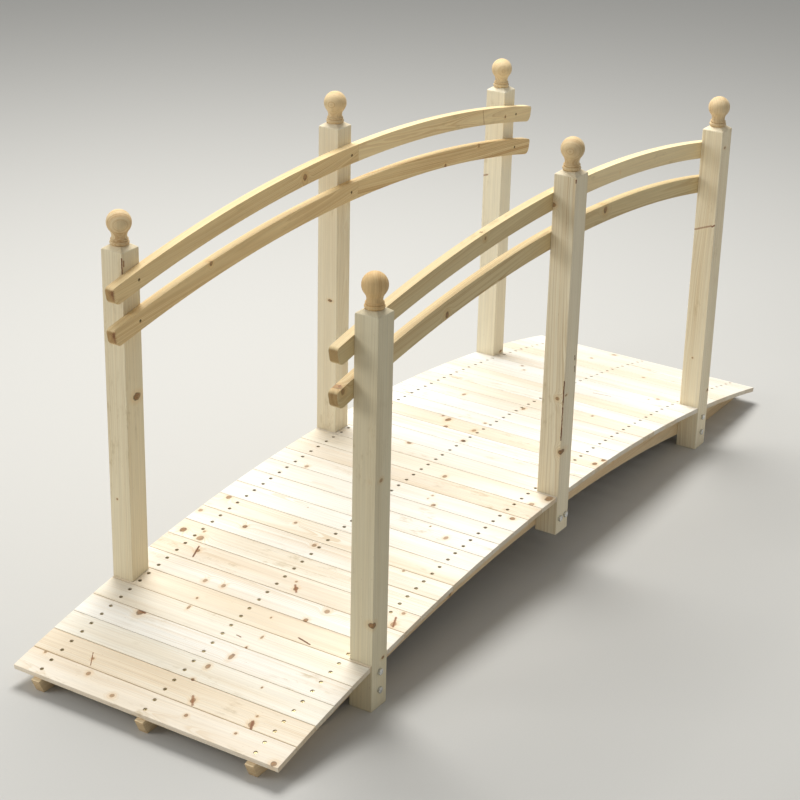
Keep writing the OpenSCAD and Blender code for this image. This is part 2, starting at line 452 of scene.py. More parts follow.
    def rings(self, swell: Signal) -> Signal:
        """Measures the growth rings, which bow and shiver and differ from year to year.

        Args:
            swell: How far knots push the rings outward.

        Returns:
            0 in early wood to 1 in late wood.
        """
        graph = self.graph
        across = graph.sway(self.seeded, self.bow_across)
        up = graph.sway(self.seeded, self.bow_up)
        spoke = (self.place - self.pith) * self.crosswise + graph.whole(0.0, across, up)
        shiver = graph.sway(self.seeded, self.shiver)
        years = (spoke.length() - swell + shiver) / self.finish.ring
        weather = graph.out(0, "TexNoise", noise_dimensions="1D", named={"W": years * self.weather_waves})
        year = graph.math("FRACT", weather * self.year_drift + years)
        return graph.ramp(year, *self.year_rise) * graph.ramp(year, *self.year_fall)

    def wood(self, late: Signal) -> Signal:
        """Colours the clear wood.

        Args:
            late: Share of late wood.

        Returns:
            The colour.
        """
        graph, finish = self.graph, self.finish
        strength = graph.cloud(self.seeded, self.ring_strength) * finish.contrast
        strength = strength * graph.attribute("tone", "Alpha")
        colour = graph.mix(late * strength, finish.early, finish.late)
        colour = graph.mix(graph.cloud(self.seeded, self.patch) * finish.patches, colour, finish.late)
        stain = graph.cloud(self.seeded, self.stain_flecks) * graph.cloud(self.seeded, self.stain_areas)
        colour = graph.mix(stain * finish.stained, colour, finish.stain)
        shade = graph.cloud(self.seeded, self.bands) * graph.cloud(self.seeded, self.fibres)
        return graph.mix(graph.cloud(self.seeded, self.pecks), graph.tint(colour, shade), finish.knot_heart)

    def knotted(self, distance: Signal, colour: Signal) -> tuple[Signal, Signal]:
        """Lays the knots over the clear wood.

        Args:
            distance: Distance to the nearest knot in its radii.
            colour: Colour of the clear wood.

        Returns:
            The colour with knots, and the share of a knot's dark rim.
        """
        graph, finish = self.graph, self.finish
        mood = graph.cloud(self.seeded, self.knot_mood)
        colour = graph.mix(graph.ramp(distance, *self.knot_halo), colour, graph.tint(colour, self.halo_tint))
        turn = graph.ramp(graph.math("FRACT", distance * self.knot_rings), *self.knot_ring)
        heart = graph.mix(turn, finish.knot_heart, finish.knot_rim)
        heart = graph.mix(graph.cloud(self.seeded, self.knot_mottle) * mood, heart, finish.knot_rim)
        rim = graph.ramp(distance, *self.knot_rim_in) * graph.ramp(distance, *self.knot_rim_out) * mood
        inside = graph.ramp(distance, *self.knot_inside) * graph.ramp(mood, *self.knot_depth)
        colour = graph.mix(inside, colour, heart)
        return graph.mix(rim * self.rim_share, colour, finish.knot_rim), rim

    def streaks(self) -> Signal:
        """Measures the checks, bark edges, spike knots and dark patches.

        Returns:
            0 in clear wood to 1 in bark.
        """
        graph = self.graph
        waver = graph.sway(self.place, self.streak_waver)
        dark: Value = 0.0
        for number in range(STREAKS_PER_PIECE):
            start = graph.attribute(f"streak{number}_from")
            run = graph.attribute(f"streak{number}_to") - start
            offset = self.place - start
            share = graph.math("DIVIDE", offset.dot(run), run.dot(run), clamp=True)
            width = graph.attribute(f"streak{number}_from", "Alpha")
            apart = (offset - run * share).length() / width + waver
            depth = graph.ramp(apart, *self.streak_edge) * graph.attribute(f"streak{number}_to", "Alpha")
            dark = graph.math("MAXIMUM", depth, dark)
        return dark


@dataclass(frozen=True)
class ZincFinish:
    """Zinc plated steel, with a dull and spangled skin."""

    name: str
    slot: str = "zinc"
    bright: Colour = linear(225, 226, 224)
    dull: Colour = linear(168, 170, 170)
    roughness: float = 0.18
    dulling: float = 0.25
    spangle: Cloud = Cloud(420, 0.3, 0.7, detail=3.0)
    grit: float = 0.03 * MM
    grit_waves: float = 2600

    def shade(self, graph: Graph) -> None:
        """Fills the graph of the material: plating that varies over a few millimetres.

        Args:
            graph: Empty graph of the material.
        """
        place = graph.out("Object", "TexCoord")
        dull = graph.cloud(place, self.spangle)
        colour = graph.mix(dull, self.bright, self.dull)
        height = graph.noise(place, self.grit_waves, detail=1.0) * self.grit
        graph.surface(colour, dull * self.dulling + self.roughness, {"Metallic": 1.0}, height)


class Finish(Enum):
    """The finishes of the bridge's pieces."""

    DECK = FirFinish(
        "planed_deck_fir", "deck_fir", linear(252, 247, 235), linear(216, 186, 136), 3.6 * MM, patches=0.33
    )
    STRINGER = FirFinish(
        "sawn_stringer_fir", "stringer_fir", linear(236, 216, 180), linear(205, 164, 112), relief=0.2 * MM
    )
    POST = FirFinish(
        "planed_post_fir", "post_fir", linear(240, 229, 200), linear(200, 172, 124), 3.0 * MM,
        end_grain_and_painted_shade=(1.0, 0.97, 0.93),
    )
    RAIL = FirFinish(
        "planed_rail_fir", "rail_fir", linear(234, 212, 164), linear(186, 144, 88), 3.8 * MM, 0.65,
        # The rails' cut ends are darkened beyond end grain: painted shade.
        end_grain_and_painted_shade=(0.6, 0.5, 0.38),
    )
    FINIAL = FirFinish(
        "turned_finial_fir", "finial_fir", linear(232, 210, 168), linear(190, 150, 98), 5.0 * MM, 0.45,
        end_grain_and_painted_shade=(0.97, 0.93, 0.86), tool_marks=0.03 * MM,
    )
    BOLT = ZincFinish("white_bolt_zinc")
    SCREW = ZincFinish("yellow_screw_zinc", bright=linear(156, 142, 108), dull=linear(104, 92, 66))


@dataclass(frozen=True)
class Look:
    """What shows in one piece of wood, in millimetres.

    A knot is its places along and across the piece, its radius and, on a post, its face. A streak is the
    two places of its start and of its end, half its width, its darkness and, on a post, its face. The
    pith is the middle of the rings, on the second and third axis of the grain.
    """

    tone: Tone = Tone.PALE
    knots: tuple[tuple[float | Face, ...], ...] = ()
    streaks: tuple[tuple[float | Face, ...], ...] = ()
    shade: float = 1.0
    figure: float = 1.0
    pith: tuple[float, float] = (60.0, 30.0)


@dataclass
class Timber:
    """One piece of wood: where its grain runs, what shows in it, and how a mark finds its place.

    The grain frame's first axis runs along the fibres, the other two across them.
    """

    frame: Matrix
    look: Look
    seed: float
    place: Callable[..., Vector] | None = None

    def mark(self, mesh: bpy.types.Mesh) -> None:
        """Writes the attributes that the fir finishes read.

        Args:
            mesh: Mesh of the piece, in the bridge's own axes.
        """
        look = self.look
        points = np.zeros(len(mesh.vertices) * 3, np.float32)
        mesh.vertices.foreach_get("co", points)
        inverse = np.array(self.frame.inverted())
        local = points.reshape(-1, 3) @ inverse[:3, :3].T + inverse[:3, 3]
        self._write(mesh, "grain_at", local)
        self._write(mesh, "pith", (look.pith[0] * MM, look.pith[1] * MM, self.seed))
        self._write(mesh, "grain_along", self.frame.col[0][:3])
        rows = {"tone": (*(look.shade * part for part in look.tone.value), look.figure)}
        for number in range(KNOTS_PER_PIECE):
            rows[f"knot{number}"] = (*NOWHERE, MM)
        for number in range(STREAKS_PER_PIECE):
            rows[f"streak{number}_from"] = (*NOWHERE, MM)
            rows[f"streak{number}_to"] = (*(0.9 * NOWHERE), 0.0)
        for number, (along, across, radius, *face) in enumerate(look.knots):
            rows[f"knot{number}"] = (*self._local(along, across, *face), radius * MM)
        for number, (along, across, to_along, to_across, width, dark, *face) in enumerate(look.streaks):
            rows[f"streak{number}_from"] = (*self._local(along, across, *face), width * MM)
            rows[f"streak{number}_to"] = (*self._local(to_along, to_across, *face), dark)
        for name, row in rows.items():
            self._write(mesh, name, row)

    def _local(self, along: float, across: float, *face: Face) -> Vector:
        """Place of a mark in the grain's own frame."""
        return self.frame.inverted() @ self.place(along * MM, across * MM, *face)

    @staticmethod
    def _write(mesh: bpy.types.Mesh, name: str, values: Sequence[float] | np.ndarray) -> None:
        """Writes one attribute on all vertices.

        Args:
            mesh: Mesh of the piece.
            name: Name of the attribute.
            values: One row of three or four numbers for each vertex, or one row for all of them.
        """
        width = np.shape(values)[-1]
        kind, key = ("FLOAT_VECTOR", "vector") if width == 3 else ("FLOAT_COLOR", "color")
        made = mesh.attributes.new(name, kind, "POINT")
        rows = np.broadcast_to(np.asarray(values, np.float32), (len(mesh.vertices), width))
        made.data.foreach_set(key, rows.ravel())


class Joinery:
    """Ways to make the solids that the pieces are cut from."""

    rod_sides: int = 24
    ease_steps: int = 3
    ease_angle: float = 32.0
    sharp_angle: float = 38.0

    @staticmethod
    def block(low: Sequence[float], high: Sequence[float]) -> Solid:
        """Square block between two opposite corners.

        Args:
            low: One corner.
            high: The other corner.

        Returns:
            The block.
        """
        made = bmesh.new()
        size = [abs(top - bottom) for bottom, top in zip(low, high)]
        place = Matrix.Translation((Vector(high) + Vector(low)) / 2) @ Matrix.Diagonal((*size, 1.0))
        bmesh.ops.create_cube(made, size=1.0, matrix=place)
        return made

    @staticmethod
    def rod(diameter: float, start: Vector, end: Vector) -> Solid:
        """Round rod from one point to another.

        Args:
            diameter: Diameter.
            start: Middle of one end.
            end: Middle of the other end.

        Returns:
            The rod.
        """
        made = bmesh.new()
        run = end - start
        place = Matrix.Translation((start + end) / 2) @ run.to_track_quat("Z", "Y").to_matrix().to_4x4()
        sizes = {"radius1": diameter / 2, "radius2": diameter / 2, "depth": run.length}
        bmesh.ops.create_cone(made, cap_ends=True, segments=Joinery.rod_sides, matrix=place, **sizes)
        return made

    @staticmethod
    def loft(rings: Sequence[Sequence[Sequence[float]]]) -> Solid:
        """Solid through a row of outlines with as many corners each.

        Args:
            rings: The outlines, from one end to the other.

        Returns:
            The solid.
        """
        made = bmesh.new()
        rings = [[made.verts.new(corner) for corner in ring] for ring in rings]
        made.faces.new(rings[0])
        made.faces.new(rings[-1])
        for here, after in zip(rings, rings[1:]):
            for corner in range(len(here)):
                made.faces.new((here[corner - 1], here[corner], after[corner], after[corner - 1]))
        bmesh.ops.recalc_face_normals(made, faces=made.faces)
        return made

    @staticmethod
    def strip(stations: Sequence[Station], low: float, high: float) -> Solid:
        """Curved bar along the bridge.

        Args:
            stations: X and Z of the upper edge and X and Z of the lower edge, from near to far.
            low: Y of its right face.
            high: Y of its left face.

        Returns:
            The bar.
        """
        sides = (low, high, high, low)
        rings = [((tx, tz), (tx, tz), (bx, bz), (bx, bz)) for tx, tz, bx, bz in stations]
        return Joinery.loft([[(x, y, z) for (x, z), y in zip(ring, sides)] for ring in rings])

    @staticmethod
    def lathe(profile: Outline, steps: int) -> Solid:
        """Turned solid about the upright axis.

        Args:
            profile: Radius and height of each point, from the axis at the bottom to the axis at the top.
            steps: Number of steps round.

        Returns:
            The solid.
        """
        made = bmesh.new()
        bottom = made.verts.new((0, 0, profile[0][1]))
        top = made.verts.new((0, 0, profile[-1][1]))
        turns = [math.tau * step / steps for step in range(steps)]
        rings = [
            [made.verts.new((radius * math.cos(turn), radius * math.sin(turn), height)) for turn in turns]
            for radius, height in profile[1:-1]
        ]
        for step in range(steps):
            after = (step + 1) % steps
            made.faces.new((bottom, rings[0][after], rings[0][step]))
            made.faces.new((top, rings[-1][step], rings[-1][after]))
            for here, above in zip(rings, rings[1:]):
                made.faces.new((here[step], here[after], above[after], above[step]))
        return made

    @staticmethod
    def mesh(name: str, solid: Solid) -> bpy.types.Mesh:
        """Mesh of a solid.

        Args:
            name: Name of the mesh.
            solid: The solid, freed here.

        Returns:
            The mesh.
        """
        made = bpy.data.meshes.new(name)
        solid.to_mesh(made)
        solid.free()
        return made

    @staticmethod
    def piece(name: str, mesh: bpy.types.Mesh) -> Piece:
        """Object of a mesh, in the scene.

        Args:
            name: Name of the object.
            mesh: Its mesh.

        Returns:
            The object.
        """
        made = bpy.data.objects.new(name, mesh)
        bpy.context.scene.collection.objects.link(made)
        return made

    @staticmethod
    def placed(mesh: bpy.types.Mesh, places: Iterable[Matrix]) -> Solid:
        """Copies of one mesh at several places, as one solid.

        Args:
            mesh: Mesh to copy.
            places: Where each copy goes.

        Returns:
            The joined copies.
        """
        made = bmesh.new()
        for place in places:
            copy = mesh.copy()
            copy.transform(place)
            made.from_mesh(copy)
            bpy.data.meshes.remove(copy)
        return made

    @staticmethod
    def gather(solids: Iterable[Solid]) -> Solid:
        """Several solids as one.

        Args:
            solids: The solids, freed here.

        Returns:
            The joined solids.
        """
        made = bmesh.new()
        for solid in solids:
            held = Joinery.mesh("held", solid)
            made.from_mesh(held)
            bpy.data.meshes.remove(held)
        return made

    @staticmethod
    def shape(
        name: str, solid: Solid, ease: float = 0.0, waste: Solid | None = None, keep_common: bool = False
    ) -> Piece:
        """Makes a piece of a solid: eases its edges, cuts it and evens its shading.

        Args:
            name: Name of the piece.
            solid: Solid in the bridge's own axes, freed here.
            ease: Width of the eased edges.
            waste: What is taken away after the edges are eased, freed here.
            keep_common: Keeps what both solids share, in place of taking the second away.

        Returns:
            The piece, in the scene.
        """
        rough = Joinery.mesh(name, solid)
        made = Joinery.piece(name, rough)
        if ease:
            bevel = made.modifiers.new("eased_edges", "BEVEL")
            bevel.width = ease
            bevel.segments = Joinery.ease_steps
            bevel.limit_method = "ANGLE"
            bevel.angle_limit = math.radians(Joinery.ease_angle)
        if waste is not None:
            cutter = Joinery.piece("waste", Joinery.mesh("waste", waste))
            cut = made.modifiers.new("cut", "BOOLEAN")
            cut.operation = "INTERSECT" if keep_common else "DIFFERENCE"
            cut.solver = "EXACT"
            cut.object = cutter
        graph = bpy.context.evaluated_depsgraph_get()
        ready = bpy.data.meshes.new_from_object(made.evaluated_get(graph), depsgraph=graph)
        made.modifiers.clear()
        made.data = ready
        ready.name = name
        bpy.data.meshes.remove(rough)
        if waste is not None:
            bpy.data.meshes.remove(cutter.data)
        ready.shade_smooth()
        ready.set_sharp_from_angle(angle=math.radians(Joinery.sharp_angle))
        even = made.modifiers.new("even_shading", "WEIGHTED_NORMAL")
        even.keep_sharp = True
        return made

    @staticmethod
    def cut(solid: Solid, waste: Solid, keep_common: bool = False) -> Solid:
        """Cuts one solid with another, as shape does.

        Args:
            solid: The solid, freed here.
            waste: What cuts it, freed here.
            keep_common: Keeps what both solids share, in place of taking the second away.

        Returns:
            What is left.
        """
        left = Joinery.shape("cut", solid, 0.0, waste, keep_common)
        made = bmesh.new()
        made.from_mesh(left.data)
        bpy.data.objects.remove(left)
        return made


class Stock:
    """The finished materials, and how a piece gets one."""

    def __init__(self) -> None:
        """Builds every finish once."""
        self.materials: dict[Finish, bpy.types.Material] = {}
        for finish in Finish:
            made = bpy.data.materials.new(finish.value.name)
            finish.value.shade(Graph(made))
            self.materials[finish] = made

    def dress(self, piece: Piece, finish: Finish, *nodes: str, timber: Timber | None = None) -> None:
        """Gives a piece its grain, its finish and its place in the frame.

        Args:
            piece: Piece to dress.
            finish: Its finish.
            *nodes: Frame nodes that it stands for.
            timber: Its grain, if it is of wood.
        """
        if timber:
            timber.mark(piece.data)
        piece.data.materials.clear()
        piece.data.materials.append(self.materials[finish])
        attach(piece, BODY)
        if nodes:
            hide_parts(*nodes)


@dataclass(frozen=True)
class BridgeSizes:
    """Sizes that several sub-assemblies share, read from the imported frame."""

    toe_x: float
    crown_z: float
    arch_r: float
    board_w: float
    board_t: float
    deck_w: float
    board_step: float
    stringer_t: float
    stringer_y: float
    post_w: float
    post_x: float
    post_y: float
    rail_top: float
    rail_r: float = 4080 * MM
    toe_h: float = 31 * MM
    toe_out: float = 9 * MM
    stringer_depth: float = 76 * MM
    board_count: int = 35
    boards_per_bay: int = 12

    @classmethod
    def from_frame(cls) -> BridgeSizes:
        """Reads the sizes from the boxes of the nodes.

        Returns:
            The sizes.
        """
        low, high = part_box("stringer_left")
        board_low, board_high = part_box("board_mid_posts")
        post_low, post_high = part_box("post_far_left")
        size = board_high - board_low
        height = high.z - cls.toe_h
        arch_r = (height * height + high.x * high.x) / (2 * height)
        middle = (post_low + post_high) / 2
        return cls(
            toe_x=high.x,
            crown_z=high.z,
            arch_r=arch_r,
            board_w=size.x,
            board_t=size.z,
            deck_w=size.y,
            board_step=2 * math.asin((high.x - cls.toe_out) / arch_r) / cls.board_count,
            stringer_t=high.y - low.y,
            stringer_y=(high.y + low.y) / 2,
            post_w=post_high.x - post_low.x,
            post_x=middle.x,
            post_y=middle.y,
            rail_top=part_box("rail_upper_left_near")[1].z,
        )

    @property
    def arch_z(self) -> float:
        """Height of the deck curve's centre."""
        return self.crown_z - self.arch_r

    def post_at(self, row: Row, side: Side, z: float = 0.0) -> Vector:
        """Middle of a post, at a height."""
        return Vector((row.value * self.post_x, side.value * self.post_y, z))


@dataclass
class Part:
    """A sub-assembly, with the sizes that all of them share and the finished materials."""

    sizes: BridgeSizes
    stock: Stock


def upright(at: Vector) -> Matrix:
    """Grain frame of an upright piece, with its first axis up."""
    return Matrix(((0, 1, 0, at.x), (0, 0, 1, at.y), (1, 0, 0, at.z), (0, 0, 0, 1)))


BOARD_LOOKS: tuple[Look, ...] = (
    Look(Tone.BLUSH, ((300, 29, 3), (174, 17, 5), (87, -14, 5), (-86, 7, 4), (-206, 10, 3), (-322, -25, 6))),
    Look(
        Tone.TAN,
        ((195, -8, 3), (-72, -17, 5), (-216, 4, 2.5), (-219, -20, 6)),
        (
            (-34, 31, -36, 32, 2.2, 0.9),
            (207, 7, 186, -27, 1.5, 0.6),
            (-64, -6, -79, -28, 4.0, 0.5),
            (-217, -12, -225, -30, 4.5, 0.6),
        ),
    ),
    Look(Tone.GREY, ((-37, 15, 5), (-33, -32, 4), (-175, 12, 2))),
    Look(Tone.PALE, ((201, 29, 8), (-62, -3, 5)), ((205, 32, 190, 29, 3.4, 0.7),)),
    Look(Tone.CREAM, ((118, 23, 3), (-82, 12, 2.5), (-72, -31, 2.5)), ((-30, -6, -42, -8, 1.8, 0.7),)),
    Look(Tone.TAN, ((122, -8, 2.5), (-60, 10, 2)), ((-151, -19, -184, -27, 2.4, 0.85),)),
    Look(Tone.PALE, ((145, -14, 5), (98, -11, 5), (-153, 18, 6), (-130, -29, 5))),
    Look(
        Tone.BLUSH,
        ((229, 4, 5), (-33, 11, 2.5), (-47, -11, 5), (-298, 24, 4), (-300, -18, 6)),
        ((237, 19, 224, -19, 2.6, 0.8), (-38, 0, -55, -21, 3.6, 0.55), (-292, 4, -304, -26, 3.2, 0.6)),
    ),
    Look(Tone.CREAM, ((310, -9, 7), (263, 8, 3), (255, -18, 8))),
    Look(Tone.PALE, ((326, 11, 5), (195, 4, 5), (14, 17, 5), (-213, 28, 3))),
    Look(Tone.CREAM, ((304, 24, 6), (105, 9, 4))),
    Look(Tone.PALE, ((120, 14, 1.5),)),
    Look(Tone.PALE, ((-221, -5, 5), (-165, 20, 2))),
    Look(Tone.PALE),
    Look(Tone.PALE, ((-93, 15, 3), (-92, -4, 2), (-119, -24, 5), (235, -22, 5), (-303, 18, 6))),
    Look(Tone.BLUSH),
    Look(Tone.CREAM, ((-66, -17, 5), (-305, -29, 6), (-325, 20, 8))),
    Look(Tone.PALE, ((102, 28, 6),)),
    Look(Tone.PALE),
    Look(Tone.WHITE, ((2, -15, 6),)),
    Look(Tone.BLUSH, ((101, 13, 6), (125, 29, 3), (83, -30, 5), (14, -8, 5), (-328, 28, 5), (-321, -6, 5))),
    Look(Tone.WHITE, ((16, -14, 4),)),
    Look(Tone.WHITE),
    Look(Tone.PALE, ((163, 0, 4), (-8, 9, 4))),
    Look(Tone.BLUSH, ((-166, 21, 3),)),
    Look(Tone.WHITE),
    Look(Tone.CREAM),
    Look(Tone.PALE, streaks=((-78, 2, -125, 12, 1.6, 0.8),)),
    Look(Tone.WHITE, ((179, 14, 4), (155, -19, 4), (-225, 26, 5), (-208, 4, 2.5))),
    Look(Tone.PALE),
    Look(Tone.PALE),
    Look(Tone.BLUSH, ((-98, 10, 4),)),
    Look(Tone.CREAM, ((100, 19, 4),)),
    Look(Tone.PALE),
    Look(Tone.PALE, ((84, 4, 6),)),
)


@dataclass
class Deck(Part):
    """Thirty-five boards across the stringers, notched round the posts and screwed down."""

    luck_seed: int = 351
    ease: float = 0.9 * MM
    end_play: float = 0.5 * MM
    side_play: float = 0.25 * MM
    end_points: int = 9
    notch_gap: float = 0.6 * MM
    hole_d: float = 9.0 * MM
    hole_depth: float = 3.4 * MM
    screw_spread: float = 15.3 * MM
    screw_below: float = 1.8 * MM
    pith_beside: tuple[float, float] = (4, 95)
    pith_below: tuple[float, float] = (24, 90)
    shades: tuple[float, float] = (0.96, 1.0)
    figures: tuple[float, float] = (0.25, 0.9)

    def build(self, screw: bpy.types.Mesh) -> None:
        """Makes every board and its screws.

        Args:
            screw: Head of the screw that holds the boards.
        """
        luck = random.Random(self.luck_seed)
        groups: dict[str, list[Matrix]] = {}
        for index, look in enumerate(BOARD_LOOKS):
            number = index - self.sizes.board_count // 2
            node = self.node_of(number)
            frame = self.frame(number)
            solid = self.blank(frame, luck)
            waste = self.waste(frame, abs(number))
            piece = Joinery.shape(f"board_{index + 1:02d}", solid, self.ease, waste)
            self.stock.dress(piece, Finish.DECK, node, timber=self.timber(frame, look, luck))
            for x, y in self.screw_places():
                turn = Matrix.Rotation(luck.uniform(0, math.tau), 4, "Z")
                seat = Matrix.Translation((y, x, self.sizes.board_t - self.screw_below))
                groups.setdefault(node, []).append(frame @ seat @ turn)
        for node, places in groups.items():
            piece = Joinery.shape(f"screws_{node}", Joinery.placed(screw, places))
            self.stock.dress(piece, Finish.SCREW)

    def frame(self, number: int) -> Matrix:
        """Frame of a board: first axis along its fibres, third axis up, origin under its middle.

        Args:
            number: Board, counted from the middle one.

        Returns:
            The matrix from the board's axes to the bridge's.
        """
        turn = Matrix.Rotation(number * self.sizes.board_step, 4, "Y")
        lift = Matrix.Translation((0, 0, self.sizes.arch_r))
        fibres_first = Matrix(((0, 1, 0, 0), (1, 0, 0, 0), (0, 0, 1, 0), (0, 0, 0, 1)))
        return Matrix.Translation((0, 0, self.sizes.arch_z)) @ turn @ lift @ fibres_first

    def node_of(self, number: int) -> str:
        """Name of the frame node that holds a board.

        Args:
            number: Board, counted from the middle one.

        Returns:
            The node's name.
        """
        end = "near" if number < 0 else "far"
        away = abs(number)
        bay = self.sizes.boards_per_bay
        if away in (0, bay):
            return f"board_{end if away else 'mid'}_posts"
        if away > bay:
            return f"boards_{end}_end"
        return f"boards_{end}_bay_{'high' if away < bay // 2 else 'low'}"

    def blank(self, frame: Matrix, luck: random.Random) -> Solid:
        """Cuts a board to length, with slightly uneven ends.

        Args:
            frame: Frame of the board.
            luck: Source of the unevenness.

        Returns:
            The board before its edges are eased.
        """
        half_l, half_w = self.sizes.deck_w / 2, self.sizes.board_w / 2
        right = half_w - luck.uniform(0, self.side_play)
        left = luck.uniform(0, self.side_play) - half_w
        outline = []
        for end in (1, -1):
            skew = luck.uniform(0, self.end_play)
            for step in range(self.end_points):
                share = step / (self.end_points - 1)
                across = left + (right - left) * (share if end > 0 else 1 - share)
                back = skew * share + luck.uniform(0, 0.4 * self.end_play)
                outline.append((end * (half_l - back), across))
        levels = (0, self.sizes.board_t)
        return Joinery.loft([[frame @ Vector((x, y, z)) for x, y in outline] for z in levels])

    def screw_places(self) -> list[tuple[float, float]]:
        """Places of a board's screws, along and across the bridge from its middle."""
        rows = (-self.sizes.stringer_y, 0.0, self.sizes.stringer_y)
        return [(side * self.screw_spread, y) for y in rows for side in (-1, 1)]

    def waste(self, frame: Matrix, away: int) -> Solid:
        """What is cut from a board: its screw holes, and the notches round a row of posts.

        Args:
            frame: Frame of the board.
            away: Number of boards between it and the middle one.

        Returns:
            The waste.
        """
        levels = (self.sizes.board_t - self.hole_depth, self.sizes.board_t + MM)
        holes = [[frame @ Vector((y, x, z)) for z in levels] for x, y in self.screw_places()]
        solids = [Joinery.rod(self.hole_d, start, end) for start, end in holes]
        if away in (0, self.sizes.boards_per_bay):
            reach = self.sizes.post_w / 2 + self.notch_gap
            middle = math.copysign(self.sizes.post_x, frame.translation.x) if away else 0.0
            for side in (-1, 1):
                inner = side * (self.sizes.post_y - reach)
                corners = ((middle - reach, inner, 0), (middle + reach, side * self.sizes.deck_w, 1))
                solids.append(Joinery.block(*corners))
        return Joinery.gather(solids)

    def timber(self, frame: Matrix, look: Look, luck: random.Random) -> Timber:
        """Grain of a board.

        Args:
            frame: Frame of the board.
            look: The marks that show in it.
            luck: Source of the pith's place and of how strongly the rings show.

        Returns:
            The board's timber.
        """
        beside = luck.choice((-1, 1)) * luck.uniform(*self.pith_beside)
        below = luck.uniform(*self.pith_below)
        shade = luck.uniform(*self.shades)
        look = replace(look, pith=(beside, -below), shade=shade, figure=luck.uniform(*self.figures))
        return Timber(frame, look, luck.uniform(0, 9), partial(self.on_board, frame))

    def on_board(self, frame: Matrix, along: float, across: float) -> Vector:
        """Point on a board's upper face."""
        return frame @ Vector((along, across, self.sizes.board_t))


@dataclass
class Screw:
    """Countersunk screw head with a cross recess."""

    head_d: float = 7.4 * MM
    head_h: float = 1.6 * MM
    edge_h: float = 0.25 * MM
    edge_in: float = 0.1 * MM
    shank_d: float = 3.6 * MM
    recess_w: float = 3.8 * MM
    recess_arm: float = 0.9 * MM
    recess_depth: float = 1.3 * MM
    steps: int = 20

    def mesh(self) -> bpy.types.Mesh:
        """Turns the head and cuts the recess.

        Returns:
            The head with its top at zero, as a mesh to copy.
        """
        radius = self.head_d / 2
        bottom, rim = -self.head_h, radius - self.edge_in
        profile = ((0, bottom), (self.shank_d / 2, bottom), (radius, -self.edge_h), (rim, 0), (0, 0))
        arm, reach, deep = self.recess_arm / 2, self.recess_w / 2, -self.recess_depth
        head = Joinery.lathe(profile, self.steps)
        head = Joinery.cut(head, Joinery.block((-reach, -arm, deep), (reach, arm, MM)))
        head = Joinery.cut(head, Joinery.block((-arm, -reach, deep - 0.01 * MM), (arm, reach, 1.1 * MM)))
        return Joinery.mesh("screw_head", head)


STRINGER_LOOKS: dict[str, Look] = {
    "left": Look(Tone.CREAM, ((560, 84, 6), (-170, 128, 5), (-760, 60, 4)), pith=(60, 23)),
    "centre": Look(Tone.CREAM, ((-590, 96, 5), (90, 112, 7), (880, 44, 4)), pith=(60, 14)),
    "right": Look(Tone.CREAM, ((-410, 90, 7), (370, 110, 5), (-930, 50, 6)), pith=(60, 5)),
}


@dataclass
class Stringers(Part):
    """Three arched stringers, sawn from wide planks."""

    seed: float = 3.1
    toe_lean: float = 25.0
    ease: float = 0.7 * MM
    station: float = 14 * MM

    def build(self, bolts: Bolts) -> None:
        """Makes the three stringers.

        Args:
            bolts: The bolts whose holes are drilled through the outer two.
        """
        for side, (name, look) in zip((1, 0, -1), STRINGER_LOOKS.items()):
            middle = side * self.sizes.stringer_y
            low, high = middle - self.sizes.stringer_t / 2, middle + self.sizes.stringer_t / 2
            waste = bolts.holes(Side(side)) if side else None
            solid = Joinery.strip(self.stations(), low, high)
            piece = Joinery.shape(f"sawn_stringer_{name}", solid, self.ease, waste)
            frame = Matrix(((1, 0, 0, 0), (0, 0, 1, middle), (0, 1, 0, self.sizes.crown_z / 2), (0, 0, 0, 1)))
            timber = Timber(frame, look, self.seed + side, partial(self.on_side, low))
            self.stock.dress(piece, Finish.STRINGER, f"stringer_{name}", timber=timber)

    @staticmethod
    def on_side(y: float, along: float, across: float) -> Vector:
        """Point on a stringer's right face, by its place along the bridge and its height."""
        return Vector((along, y, across))

    def stations(self) -> list[Station]:
        """Upper and lower edge along the bridge, flat where it lies on the ground.

        Returns:
            The stations, from near to far.
        """
        outer_r, arch_z = self.sizes.arch_r, self.sizes.arch_z
        inner_r = outer_r - self.sizes.stringer_depth
        heel = rise(inner_r, arch_z)
        foot = self.sizes.toe_x - self.sizes.toe_h * math.tan(math.radians(self.toe_lean))
        count = 2 * round(foot / self.station)
        places = [foot * (2 * step / count - 1) for step in range(1, count)]
        places = [x for x in places if abs(abs(x) - heel) > self.station / 3]
        places = [x for x in places if foot - abs(x) > self.station / 2]
        lower = [-foot, *sorted([*places, -heel, heel]), foot]
        upper = [-self.sizes.toe_x, *lower[1:-1], self.sizes.toe_x]
        return [
            (over, arch_z + rise(outer_r, over), under, max(0.0, arch_z + rise(inner_r, under)))
            for over, under in zip(upper, lower)
        ]


